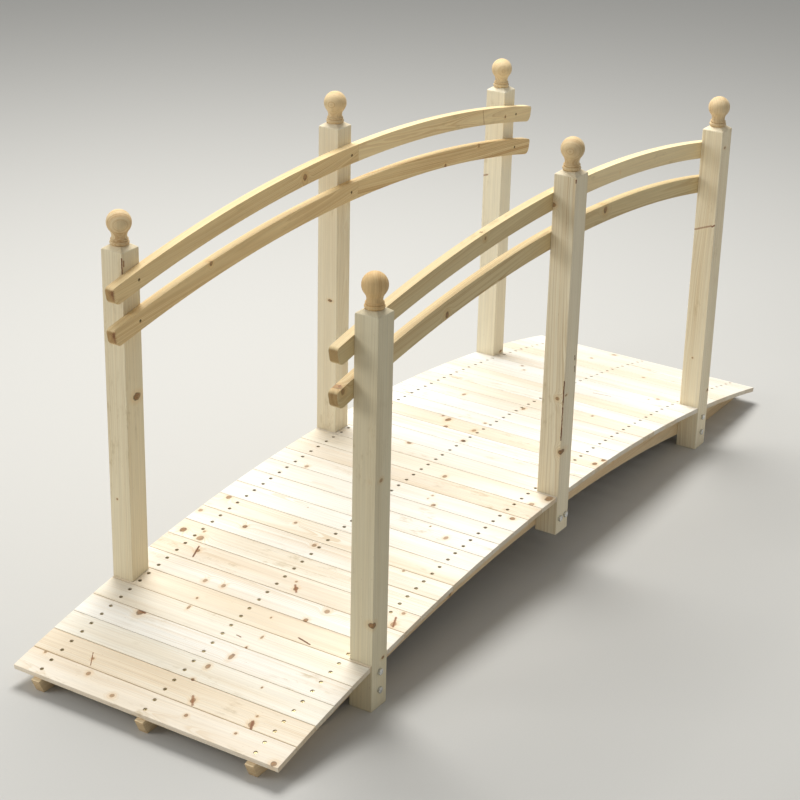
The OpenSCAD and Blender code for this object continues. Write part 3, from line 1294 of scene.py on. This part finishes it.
POST_LOOKS: dict[tuple[Row, Side], Look] = {
    (Row.NEAR, Side.LEFT): Look(
        Tone.CREAM,
        ((537, 6, 8, Face.RIGHT), (300, 8, 2, Face.NEAR)),
        ((818, -27, 852, -27, 2.0, 0.8, Face.NEAR), (835, -22, 845, -22, 3.0, 0.5, Face.RIGHT)),
        shade=0.97,
        figure=0.5,
        pith=(66, 30),
    ),
    # The near right post is tinted olive: painted shade and painted greenish reflected light.
    (Row.NEAR, Side.RIGHT): Look(
        Tone.OLIVE,
        (
            (203, -25, 6, Face.RIGHT),
            (520, -8, 4, Face.RIGHT),
            (112, 12, 3, Face.RIGHT),
            (700, 12, 5, Face.LEFT),
        ),
        figure=0.45,
        pith=(-88, 46),
    ),
    (Row.MID, Side.LEFT): Look(
        Tone.PALE, ((518, -9, 3, Face.NEAR), (700, 4, 6, Face.LEFT)), figure=0.5, pith=(20, 85)
    ),
    (Row.MID, Side.RIGHT): Look(
        Tone.PALE,
        (
            (289, -26, 5.5, Face.RIGHT),
            (420, -11, 4, Face.NEAR),
            (872, 25, 5, Face.NEAR),
            (428, -16, 2, Face.RIGHT),
        ),
        (
            (320, -27, 465, -27, 2.2, 0.85, Face.NEAR),
            (931, -27, 937, -27, 2.0, 0.8, Face.NEAR),
            (504, 17, 514, 16, 2.4, 0.9, Face.RIGHT),
            (474, 19, 488, 18, 1.8, 0.8, Face.RIGHT),
        ),
        figure=0.95,
        pith=(84, -38),
    ),
    (Row.FAR, Side.LEFT): Look(
        Tone.WHITE,
        ((120, 12, 3, Face.RIGHT),),
        ((628, 27, 633, 14, 3.0, 0.45, Face.NEAR),),
        # Painted light: this far post is made lighter, as if sunlit.
        shade=1.03,
        figure=0.2,
        pith=(90, -60),
    ),
    (Row.FAR, Side.RIGHT): Look(
        Tone.PALE,
        ((255, 2, 2, Face.NEAR), (820, -8, 3, Face.RIGHT), (155, 20, 3.5, Face.RIGHT)),
        ((601, 27, 619, -18, 3.0, 0.42, Face.NEAR), (617, -20, 622, -27, 2.6, 0.6, Face.NEAR)),
        # Painted light: this far post is made lighter, as if sunlit.
        shade=1.1,
        figure=0.9,
        pith=(92, 48),
    ),
}


@dataclass(frozen=True)
class WornEdge:
    """A bite out of a post's near right edge: its lower and upper end and its depth, in millimetres."""

    low: float
    high: float
    depth: float


WORN_EDGES: dict[tuple[Row, Side], tuple[WornEdge, ...]] = {
    (Row.NEAR, Side.LEFT): (WornEdge(818, 852, 1.7),),
    (Row.MID, Side.RIGHT): (WornEdge(318, 467, 2.2), WornEdge(930, 938, 2.0), WornEdge(667, 679, 1.6)),
}


@dataclass
class Posts(Part):
    """Six square posts with eased edges and bevelled tops."""

    luck_seed: int = 64
    seed_start: float = 3.0
    seed_row: float = 1.3
    seed_side: float = 0.7
    bevel_rise: float = 8 * MM
    bevel_flat: float = 32 * MM
    ease: float = 1.6 * MM
    bore_d: float = 12.4 * MM
    bore_depth: float = 25.2 * MM
    bite_steps: int = 12

    def build(self, bolts: Bolts) -> None:
        """Makes the six posts.

        Args:
            bolts: The bolts whose holes are drilled through the posts.
        """
        luck = random.Random(self.luck_seed)
        for (row, side), look in POST_LOOKS.items():
            node = f"post_{label(row, side)}"
            middle = self.sizes.post_at(row, side)
            low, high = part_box(node)
            mouth = self.sizes.post_at(row, side, high.z + 10 * MM)
            bore = Joinery.rod(self.bore_d, self.sizes.post_at(row, side, high.z - self.bore_depth), mouth)
            worn = [self.bite(middle, edge, luck) for edge in WORN_EDGES.get((row, side), ())]
            waste = Joinery.gather([bore, bolts.holes(side, row), *worn])
            piece = Joinery.shape(f"fir_{node}", self.blank(middle, low.z, high.z), self.ease, waste)
            seed = self.seed_start + self.seed_row * row.value + self.seed_side * side.value
            timber = Timber(upright(middle), look, seed, partial(self.on_face, middle))
            self.stock.dress(piece, Finish.POST, node, timber=timber)

    def blank(self, middle: Vector, foot: float, top: float) -> Solid:
        """Cuts a post to length and bevels its top.

        Args:
            middle: Middle of the post, on the ground.
            foot: Height of its lower end.
            top: Height of the flat on its top.

        Returns:
            The post before its edges are eased.
        """
        half, flat = self.sizes.post_w / 2, self.bevel_flat / 2
        corners = ((-1, -1), (1, -1), (1, 1), (-1, 1))
        levels = ((half, foot), (half, top - self.bevel_rise), (flat, top))
        rings = [[(middle.x + x * r, middle.y + y * r, z) for x, y in corners] for r, z in levels]
        return Joinery.loft(rings)

    def bite(self, middle: Vector, edge: WornEdge, luck: random.Random) -> Solid:
        """Uneven spindle on a post's near right edge, to take away where the edge is worn.

        Args:
            middle: Middle of the post, on the ground.
            edge: The worn stretch.
            luck: Source of the unevenness.

        Returns:
            The spindle.
        """
        run = (edge.high - edge.low) * MM
        profile = [(0.0, 0.0)]
        for step in range(1, self.bite_steps):
            share = step / self.bite_steps
            depth = edge.depth * MM * math.sqrt(math.sin(math.pi * share)) * luck.uniform(0.6, 1.0)
            profile.append((depth, run * share))
        made = Joinery.lathe([*profile, (0.0, run)], self.bite_steps)
        half = self.sizes.post_w / 2
        made.transform(Matrix.Translation(middle + Vector((-half, -half, edge.low * MM))))
        return made

    def on_face(self, middle: Vector, along: float, across: float, face: Face) -> Vector:
        """Point on a face of a post.

        Args:
            middle: Middle of the post, on the ground.
            along: Height above the ground.
            across: Place along the level axis of the face, from its middle.
            face: The face.

        Returns:
            The point, in the bridge's own axes.
        """
        x, y = face.value
        half = self.sizes.post_w / 2
        return middle + Vector((x * half + abs(y) * across, y * half + abs(x) * across, along))


FINIAL_LOOKS: dict[tuple[Row, Side], Look] = {
    (Row.NEAR, Side.LEFT): Look(Tone.CREAM, pith=(24, 30), figure=1.5),
    (Row.NEAR, Side.RIGHT): Look(Tone.AMBER, pith=(30, -52)),
    (Row.MID, Side.LEFT): Look(Tone.CREAM, pith=(85, 20)),
    (Row.MID, Side.RIGHT): Look(Tone.CREAM, pith=(43, 11)),
    (Row.FAR, Side.LEFT): Look(Tone.CREAM, pith=(70, 60)),
    (Row.FAR, Side.RIGHT): Look(Tone.PALE, pith=(34, -50), figure=1.4),
}


@dataclass
class Finials(Part):
    """Six turned finials: ring, groove, rim, hollow neck and ball, on a dowel."""

    seed_start: float = 4.0
    seed_row: float = 1.7
    ball_d: float = 52.8 * MM
    ball_z: float = 47 * MM
    neck_d: float = 32.2 * MM
    neck_z: float = 18 * MM
    ring_d: float = 41.4 * MM
    ring_h: float = 9.4 * MM
    rim_d: float = 38 * MM
    rim_h: float = 3.4 * MM
    groove_h: float = 0.9 * MM
    groove_in: float = 1.2 * MM
    dowel_d: float = 12 * MM
    dowel_l: float = 25 * MM
    chamfer: float = 1 * MM
    steps: int = 96
    ring_steps: int = 14
    rim_steps: int = 10
    cove_steps: int = 8
    neck_steps: int = 12
    ball_steps: int = 44

    def build(self) -> None:
        """Turns the six finials."""
        for (row, side), look in FINIAL_LOOKS.items():
            place = label(row, side)
            foot = self.sizes.post_at(row, side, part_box(f"post_{place}")[1].z)
            solid = Joinery.lathe(self.profile(), self.steps)
            solid.transform(Matrix.Translation(foot))
            seed = self.seed_row * row.value + side.value + self.seed_start
            timber = Timber(upright(foot), look, seed)
            piece = Joinery.shape(f"turned_finial_{place}", solid)
            self.stock.dress(piece, Finish.FINIAL, f"finial_{place}", timber=timber)

    def profile(self) -> list[tuple[float, float]]:
        """Outline of a finial from the dowel's foot to the top of the ball.

        Returns:
            Radius and height of each point, above the post's top.
        """
        ball_r, neck_r, rim_r, ring_r = (d / 2 for d in (self.ball_d, self.neck_d, self.rim_d, self.ring_d))
        round_r, rim_round, dowel_r = (d / 2 for d in (self.ring_h, self.rim_h, self.dowel_d))
        rim_z = self.ring_h + self.groove_h
        rim_flat = rim_r - rim_round
        up = self.ball_z - self.neck_z
        down = self.neck_z - rim_z - self.rim_h
        hollow_r = (up**2 - ball_r**2 + neck_r**2) / (2 * (ball_r - neck_r))
        cove_r = (down**2 + (rim_flat - neck_r) ** 2) / (2 * (rim_flat - neck_r))
        touch = math.degrees(math.atan2(up, neck_r + hollow_r))
        cove = math.degrees(math.asin(down / cove_r))
        dowel_end, groove_r = -self.dowel_l, rim_r - self.groove_in
        points = [(0.0, dowel_end), (dowel_r - self.chamfer, dowel_end)]
        points += [(dowel_r, dowel_end + self.chamfer), (dowel_r, 0.0)]
        points += self.arc((ring_r - round_r, round_r), round_r, -90, 90, self.ring_steps)
        points += [(groove_r, self.ring_h), (groove_r, rim_z)]
        points += self.arc((rim_flat, rim_z + rim_round), rim_round, -90, 90, self.rim_steps)[:-1]
        points += self.arc((neck_r + cove_r, self.neck_z), cove_r, 180 + cove, 180, self.cove_steps)
        hollow = (neck_r + hollow_r, self.neck_z)
        points += self.arc(hollow, hollow_r, 180, 180 - touch, self.neck_steps)[1:]
        points += self.arc((0.0, self.ball_z), ball_r, -touch, 90, self.ball_steps)[1:-1]
        return [*points, (0.0, self.ball_z + ball_r)]

    @staticmethod
    def arc(
        centre: tuple[float, float], radius: float, start: float, end: float, count: int
    ) -> list[tuple[float, float]]:
        """Points on an arc from one angle to another, in degrees and with both ends."""
        turns = [math.radians(start + (end - start) * step / count) for step in range(count + 1)]
        return [(centre[0] + radius * math.cos(turn), centre[1] + radius * math.sin(turn)) for turn in turns]


# Dark patch over the near cut end of the left rails.
DARK_END_PATCH = (-870, 10, -870, 34, 15.0, 0.7)
RAIL_LOOKS: dict[tuple[str, Side, Half], Look] = {
    ("upper", Side.LEFT, Half.NEAR): Look(
        Tone.CREAM, ((-190, 21, 7),), (DARK_END_PATCH,), figure=0.8, pith=(-8, 52)
    ),
    ("upper", Side.LEFT, Half.FAR): Look(
        Tone.WHITE, ((722, 26, 3),), ((604, 2, 612, 38, 2.4, 0.4),), 1.08, 0.6, (20, -60)
    ),
    ("lower", Side.LEFT, Half.NEAR): Look(
        Tone.CREAM, ((-539, 4, 5),), (DARK_END_PATCH,), figure=0.8, pith=(25, 44)
    ),
    ("lower", Side.LEFT, Half.FAR): Look(
        Tone.CREAM, ((590, 3, 3), (425, 38, 4)), figure=1.4, pith=(-22, -42)
    ),
    # The right rails are tinted olive: painted shade and painted greenish reflected light.
    ("upper", Side.RIGHT, Half.NEAR): Look(
        Tone.OLIVE, ((-318, 14, 5),), ((-318, 2, -322, 24, 5.0, 0.7),), 1.02, 0.5, (42, -48)
    ),
    ("upper", Side.RIGHT, Half.FAR): Look(Tone.WHITE, ((300, 30, 3),), (), 1.12, 0.35, (-30, 66)),
    ("lower", Side.RIGHT, Half.NEAR): Look(
        Tone.OLIVE,
        ((-463, 29, 7), (-842, 4, 7)),
        ((-838, 1, -828, 12, 5.0, 0.55), (-463, 30, -467, 40, 4.5, 0.7)),
        figure=0.9,
        pith=(4, -40),
    ),
    ("lower", Side.RIGHT, Half.FAR): Look(
        Tone.OLIVE, ((236, 12, 8),), ((236, 2, 238, 26, 3.2, 0.7),), figure=0.5, pith=(26, 58)
    ),
}


@dataclass
class Rails(Part):
    """Two arched rails a side, each of two halves that lap in half their thickness."""

    luck_seed: int = 8
    depth: float = 41 * MM
    spacing: float = 90 * MM
    top_corner: float = 9 * MM
    low_corner: float = 17 * MM
    corner_turns: tuple[float, ...] = (0, 12, 24, 36, 48, 60, 75)
    lap_gap: float = 0.2 * MM
    ease: float = 1.8 * MM
    station: float = 12 * MM
    hole_d: float = 7.4 * MM
    hole_depth: float = 1.5 * MM
    hole_mouth: float = 4 * MM
    lap_levels: tuple[float, float] = (0.5, 1.0)
    past_end: float = 1.0

    def build(self, screw: bpy.types.Mesh) -> None:
        """Makes the eight halves and their screws.

        Args:
            screw: Head of the screw that holds the rails.
        """
        luck = random.Random(self.luck_seed)
        for side in Side:
            heads: list[Matrix] = []
            for level, drop in (("upper", 0.0), ("lower", self.spacing)):
                heads += self.screw_places(side, drop)
                for half in Half:
                    node = f"rail_{level}_{label(side, half)}"
                    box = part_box(node)
                    low, high = box[0].y, box[1].y
                    solid = Joinery.strip(self.stations(half, drop, box), low, high)
                    waste = self.waste(side, half, drop, box)
                    piece = Joinery.shape(f"arched_{node}", solid, self.ease, waste)
                    shown = (low + high) / 2 if side is Side.RIGHT else low
                    place = partial(self.on_side, shown, drop)
                    look = RAIL_LOOKS[level, side, half]
                    timber = Timber(self.grain(half, drop, box), look, luck.uniform(0, 9), place)
                    self.stock.dress(piece, Finish.RAIL, node, timber=timber)
            piece = Joinery.shape(f"rail_screws_{label(side)}", Joinery.placed(screw, heads))
            self.stock.dress(piece, Finish.SCREW)

    def on_rail(self, x: float, y: float, below: float) -> Vector:
        """Point on a rail, some way below the upper rail's upper edge."""
        return Vector((x, y, self.sizes.rail_top - self.sizes.rail_r + rise(self.sizes.rail_r, x) - below))

    def on_side(self, y: float, drop: float, along: float, across: float) -> Vector:
        """Point on a rail's side, by its places along the bridge and below the rail's upper edge."""
        return self.on_rail(along, y, drop + across)

    def stations(self, half: Half, drop: float, box: Corners) -> list[Station]:
        """Upper and lower edge of one half, with rounded corners at the cut end.

        Args:
            half: Which half.
            drop: How far the rail lies below the upper one.
            box: Lowest and highest corner of its node.

        Returns:
            The stations, from near to far.
        """
        outer = self.sizes.rail_r
        inner = outer - self.depth
        centre = self.sizes.rail_top - outer - drop
        ends = sorted((abs(box[0].x), abs(box[1].x)))
        tip_angle = math.asin(ends[1] / outer)
        run = outer * tip_angle - self.low_corner
        count = round(run / self.station)
        backs = [self.low_corner * (1 - math.cos(math.radians(turn))) for turn in self.corner_turns]
        backs += [self.low_corner + run * step / count for step in range(count)]
        rows = []
        for back in backs:
            turn = tip_angle - back / outer
            over_r = outer - self.rounding(back, self.top_corner)
            under_r = inner + self.rounding(back, self.low_corner)
            edges = [(r * math.sin(turn), centre + r * math.cos(turn)) for r in (over_r, under_r)]
            if edges[0][0] > self.station / 2:
                rows.append((*edges[0], *edges[1]))
        square = -ends[0]
        rows.append((square, centre + rise(outer, square), square, centre + rise(inner, square)))
        if half is Half.NEAR:
            return [(-over, over_z, -under, under_z) for over, over_z, under, under_z in rows]
        return rows[::-1]

    @staticmethod
    def rounding(back: float, radius: float) -> float:
        """How far a rounded corner lies inside the straight edge, at a distance from the end."""
        return radius - rise(radius, max(0.0, radius - back))

    def waste(self, side: Side, half: Half, drop: float, box: Corners) -> Solid:
        """What is cut from one half: its side of the lap, and its screw holes.

        Args:
            side: Side of the bridge.
            half: Which half.
            drop: How far the rail lies below the upper one.
            box: Lowest and highest corner of its node.

        Returns:
            The waste.
        """
        reach = self.sizes.post_w / 2 + self.lap_gap
        middle = (box[0].y + box[1].y) / 2
        towards_post = -side.value * half.value
        edge = middle - towards_post * self.lap_gap / 2
        beyond = middle + towards_post * self.sizes.post_w
        low, high = self.lap_levels
        lap_end = (-half.value * self.past_end, beyond, high)
        solids = [Joinery.block((half.value * reach, edge, low), lap_end)]
        for place in self.screw_places(side, drop):
            head, axis = place.translation, place.col[2].xyz
            if head.x * half.value >= 0:
                mouth = head + axis * self.hole_mouth
                solids.append(Joinery.rod(self.hole_d, head - axis * self.hole_depth, mouth))
        return Joinery.gather(solids)

    def screw_places(self, side: Side, drop: float) -> list[Matrix]:
        """Frames of the screws of one rail, each with its third axis towards the walkway.

        Args:
            side: Side of the bridge.
            drop: How far the rail lies below the upper one.

        Returns:
            The frames, with their origin on the screw's head.
        """
        low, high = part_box(f"rail_upper_{label(side)}_near")
        y = (low.y if side is Side.LEFT else high.y) + side.value * MM
        turn = Matrix.Rotation(math.radians(90) * side.value, 4, "X")
        places = [self.on_rail(row.value * self.sizes.post_x, y, drop + self.depth / 2) for row in Row]
        return [Matrix.Translation(place) @ turn for place in places]

    def grain(self, half: Half, drop: float, box: Corners) -> Matrix:
        """Grain frame of one half: straight along its chord, because the curve is sawn.

        Args:
            half: Which half.
            drop: How far the rail lies below the upper one.
            box: Lowest and highest corner of its node.

        Returns:
            The frame.
        """
        y = (box[0].y + box[1].y) / 2
        tip_x = box[0].x if half is Half.NEAR else box[1].x
        start, tip = (self.on_rail(x, y, drop + self.depth / 2) for x in (0.0, tip_x))
        chord = (tip - start).normalized() * half.value
        rows = zip(chord, (-chord.z, 0, chord.x), (0, 1, 0), start)
        return Matrix((*rows, (0, 0, 0, 1)))


@dataclass
class Bolts(Part):
    """Hexagon bolts through posts and stringers, with chamfered heads, nuts and threaded ends."""

    shank_d: float = 8 * MM
    hole_gap: float = 0.3 * MM
    flats: float = 13 * MM
    head_h: float = 5.3 * MM
    end_l: float = 3 * MM
    end_spacing: float = 43 * MM
    mid_spacing: float = 26 * MM
    mid_drop: float = 10 * MM
    thread: float = 1.25 * MM
    thread_depth: float = 0.5 * MM
    tip_in: float = 0.8 * MM
    chamfer: float = 0.3 * MM
    foot_share: float = 0.97
    crown_share: float = 0.96
    head_steps: int = 48
    shank_steps: int = 24

    def build(self) -> None:
        """Makes the bolts of each post."""
        master = self.bolt()
        for row in Row:
            for side in Side:
                node = f"bolts_{label(row, side)}"
                outer = side.value * (self.sizes.post_y + self.sizes.post_w / 2)
                turn = Matrix.Rotation(math.radians(90) * side.value, 4, "X")
                places = [Matrix.Translation((x, outer, z)) @ turn for x, z in self.places(row)]
                piece = Joinery.shape(f"zinc_{node}", Joinery.placed(master, places))
                self.stock.dress(piece, Finish.BOLT, node)

    def places(self, row: Row) -> list[tuple[float, float]]:
        """Places of the bolts of one post, along the bridge and above the ground.

        Args:
            row: Row of the post.

        Returns:
            The two places.
        """
        x = row.value * self.sizes.post_x
        outer, inner = self.sizes.arch_r, self.sizes.arch_r - self.sizes.stringer_depth
        z = self.sizes.arch_z + (rise(outer, x) + rise(inner, x)) / 2
        if row is Row.MID:
            return [(x + way * self.mid_spacing / 2, z - self.mid_drop) for way in (-1, 1)]
        return [(x, z + way * self.end_spacing / 2) for way in (-1, 1)]

    def holes(self, side: Side, only: Row | None = None) -> Solid:
        """Holes for the bolts of one side.

        Args:
            side: Side of the bridge.
            only: Row of posts, or None for all of them.

        Returns:
            The holes, as rods.
        """
        inner = side.value * (self.sizes.stringer_y - self.sizes.stringer_t)
        outer = side.value * (self.sizes.post_y + self.sizes.post_w)
        size = self.shank_d + 2 * self.hole_gap
        places = [place for row in Row if only in (None, row) for place in self.places(row)]
        ends = [[Vector((x, y, z)) for y in (inner, outer)] for x, z in places]
        return Joinery.gather(Joinery.rod(size, start, end) for start, end in ends)

    def hexagon(self, foot: float, up: int) -> Solid:
        """Hexagon with its outer corners chamfered as on a bolt's head.

        Args:
            foot: Height of the face that bears on the wood.
            up: 1 if the chamfered face lies above it, -1 if below.

        Returns:
            The head or nut.
        """
        across, tall = self.flats / 2, self.head_h
        corner = across / math.cos(math.radians(30))
        shoulder = tall - (corner - across) * math.tan(math.radians(30))
        turns = [math.radians(60 * step) for step in range(6)]
        outline = [(corner * math.cos(turn), corner * math.sin(turn)) for turn in turns]
        blank = Joinery.loft([[(x, y, z) for x, y in outline] for z in (-MM, tall + MM)])
        profile = [(0, 0), (across * self.foot_share, 0), (corner, self.chamfer), (corner, shoulder)]
        profile += [(across * self.crown_share, tall), (0, tall)]
        made = Joinery.cut(blank, Joinery.lathe(profile, self.head_steps), keep_common=True)
        made.transform(Matrix.Translation((0, 0, foot)) @ Matrix.Diagonal((1, 1, up, 1)))
        bmesh.ops.recalc_face_normals(made, faces=made.faces)
        return made

    def bolt(self) -> bpy.types.Mesh:
        """One bolt along the upright axis, with its head below and the post's face at zero.

        Returns:
            The joined mesh of head, shank and nut.
        """
        grip = self.sizes.post_w + self.sizes.stringer_t
        height = grip + self.head_h
        tip = height + self.end_l
        radius = self.shank_d / 2
        points = [(0.0, -self.head_h / 2), (radius, -self.head_h / 2), (radius, height)]
        while height + self.thread < tip:
            points.append((radius - self.thread_depth, height + self.thread / 2))
            height += self.thread
            points.append((radius, height))
        points += [(radius - self.tip_in, tip), (0.0, tip)]
        solids = (self.hexagon(0.0, -1), Joinery.lathe(points, self.shank_steps), self.hexagon(grip, 1))
        return Joinery.mesh("bolt", Joinery.gather(solids))


@dataclass
class Studio:
    """Camera at the photograph's place, a plain pale floor and soft light."""

    camera_at: tuple[float, float, float] = (-3.7876, -2.2493, 2.2438)
    camera_aim: tuple[float, float, float] = (-0.2996, -0.0725, 0.45)
    camera_roll: float = 1.382
    lens: float = 91.277
    sensor: float = 36.0
    clip: tuple[float, float] = (0.1, 200.0)
    floor_size: float = 40.0
    floor_colour: Colour = linear(200, 198, 192)
    floor_roughness: float = 0.85
    floor_specular: float = 0.2
    floor_specks: Cloud = Cloud(240, 0.3, 0.7, 0.985, 1.0, detail=3.0)
    backdrop: Colour = linear(236, 234, 230)
    sky: Colour = (0.96, 0.98, 1.0)
    sky_strength: float = 0.36
    lamp_aim: tuple[float, float, float] = (0, 0, 0.3)
    lamps: tuple[tuple[str, tuple[float, float, float], float, float], ...] = (
        ("key_light", (1.1, 1.3, 4.4), 2.6, 226.0),
        ("side_light", (-3.6, 2.6, 2.4), 2.2, 55.0),
    )

    def build(self) -> None:
        """Sets up the camera, the floor, the world and the lamps."""
        bpy.context.scene.view_settings.view_transform = "Standard"
        self.build_camera()
        self.build_floor()
        self.build_world()
        for name, place, size, power in self.lamps:
            light = bpy.data.lights.new(name, "AREA")
            light.shape = "DISK"
            light.size = size
            light.energy = power
            self.aimed(Joinery.piece(name, light), place, self.lamp_aim)

    @staticmethod
    def aimed(item: Piece, place: Sequence[float], aim: Sequence[float], roll: float = 0.0) -> None:
        """Puts a lamp or the camera at its place and turns it.

        Args:
            item: The lamp or camera.
            place: Its place.
            aim: The point that it looks at.
            roll: Its turn about its own line of sight, in degrees.
        """
        level = (Vector(aim) - Vector(place)).to_track_quat("-Z", "Y").to_matrix()
        item.location = place
        item.rotation_mode = "QUATERNION"
        item.rotation_quaternion = (level @ Matrix.Rotation(math.radians(roll), 3, "Z")).to_quaternion()

    def build_camera(self) -> None:
        """Puts the camera where the photograph was taken from."""
        data = bpy.data.cameras.new("camera")
        data.sensor_width = self.sensor
        data.lens = self.lens
        data.clip_start, data.clip_end = self.clip
        camera = Joinery.piece("camera", data)
        self.aimed(camera, self.camera_at, self.camera_aim, self.camera_roll)
        bpy.context.scene.camera = camera

    def build_floor(self) -> None:
        """Lays the floor that the bridge stands on."""
        made = bmesh.new()
        bmesh.ops.create_grid(made, x_segments=4, y_segments=4, size=self.floor_size / 2)
        floor = Joinery.piece("floor", Joinery.mesh("floor", made))
        material = bpy.data.materials.new("pale_floor")
        graph = Graph(material)
        specks = graph.cloud(graph.out("Object", "TexCoord"), self.floor_specks)
        colour = graph.tint(self.floor_colour, specks)
        graph.surface(colour, self.floor_roughness, {"Specular IOR Level": self.floor_specular})
        floor.data.materials.append(material)

    def build_world(self) -> None:
        """Lights the object from all round, and shows a pale backdrop to the camera and to metal."""
        world = bpy.data.worlds.new("studio")
        bpy.context.scene.world = world
        graph = Graph(world)
        light = graph.out(0, "Background", self.sky, self.sky_strength)
        shown = graph.out(0, "Background", self.backdrop, 1.0)
        seen: Value = 0.0
        for ray in ("Is Camera Ray", "Is Glossy Ray", "Is Transmission Ray"):
            seen = graph.math("MAXIMUM", graph.out(ray, "LightPath"), seen)
        graph.node("OutputWorld", graph.out(0, "MixShader", seen, light, shown))


def main() -> None:
    """Builds the bridge sub-assembly by sub-assembly."""
    logging.basicConfig(level=logging.INFO, format="%(name)s: %(message)s")
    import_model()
    sizes = BridgeSizes.from_frame()
    stock = Stock()
    screw = Screw().mesh()
    bolts = Bolts(sizes, stock)
    Stringers(sizes, stock).build(bolts)
    Deck(sizes, stock).build(screw)
    Posts(sizes, stock).build(bolts)
    Rails(sizes, stock).build(screw)
    Finials(sizes, stock).build()
    bolts.build()
    Studio().build()


if __name__ == "__main__":
    main()
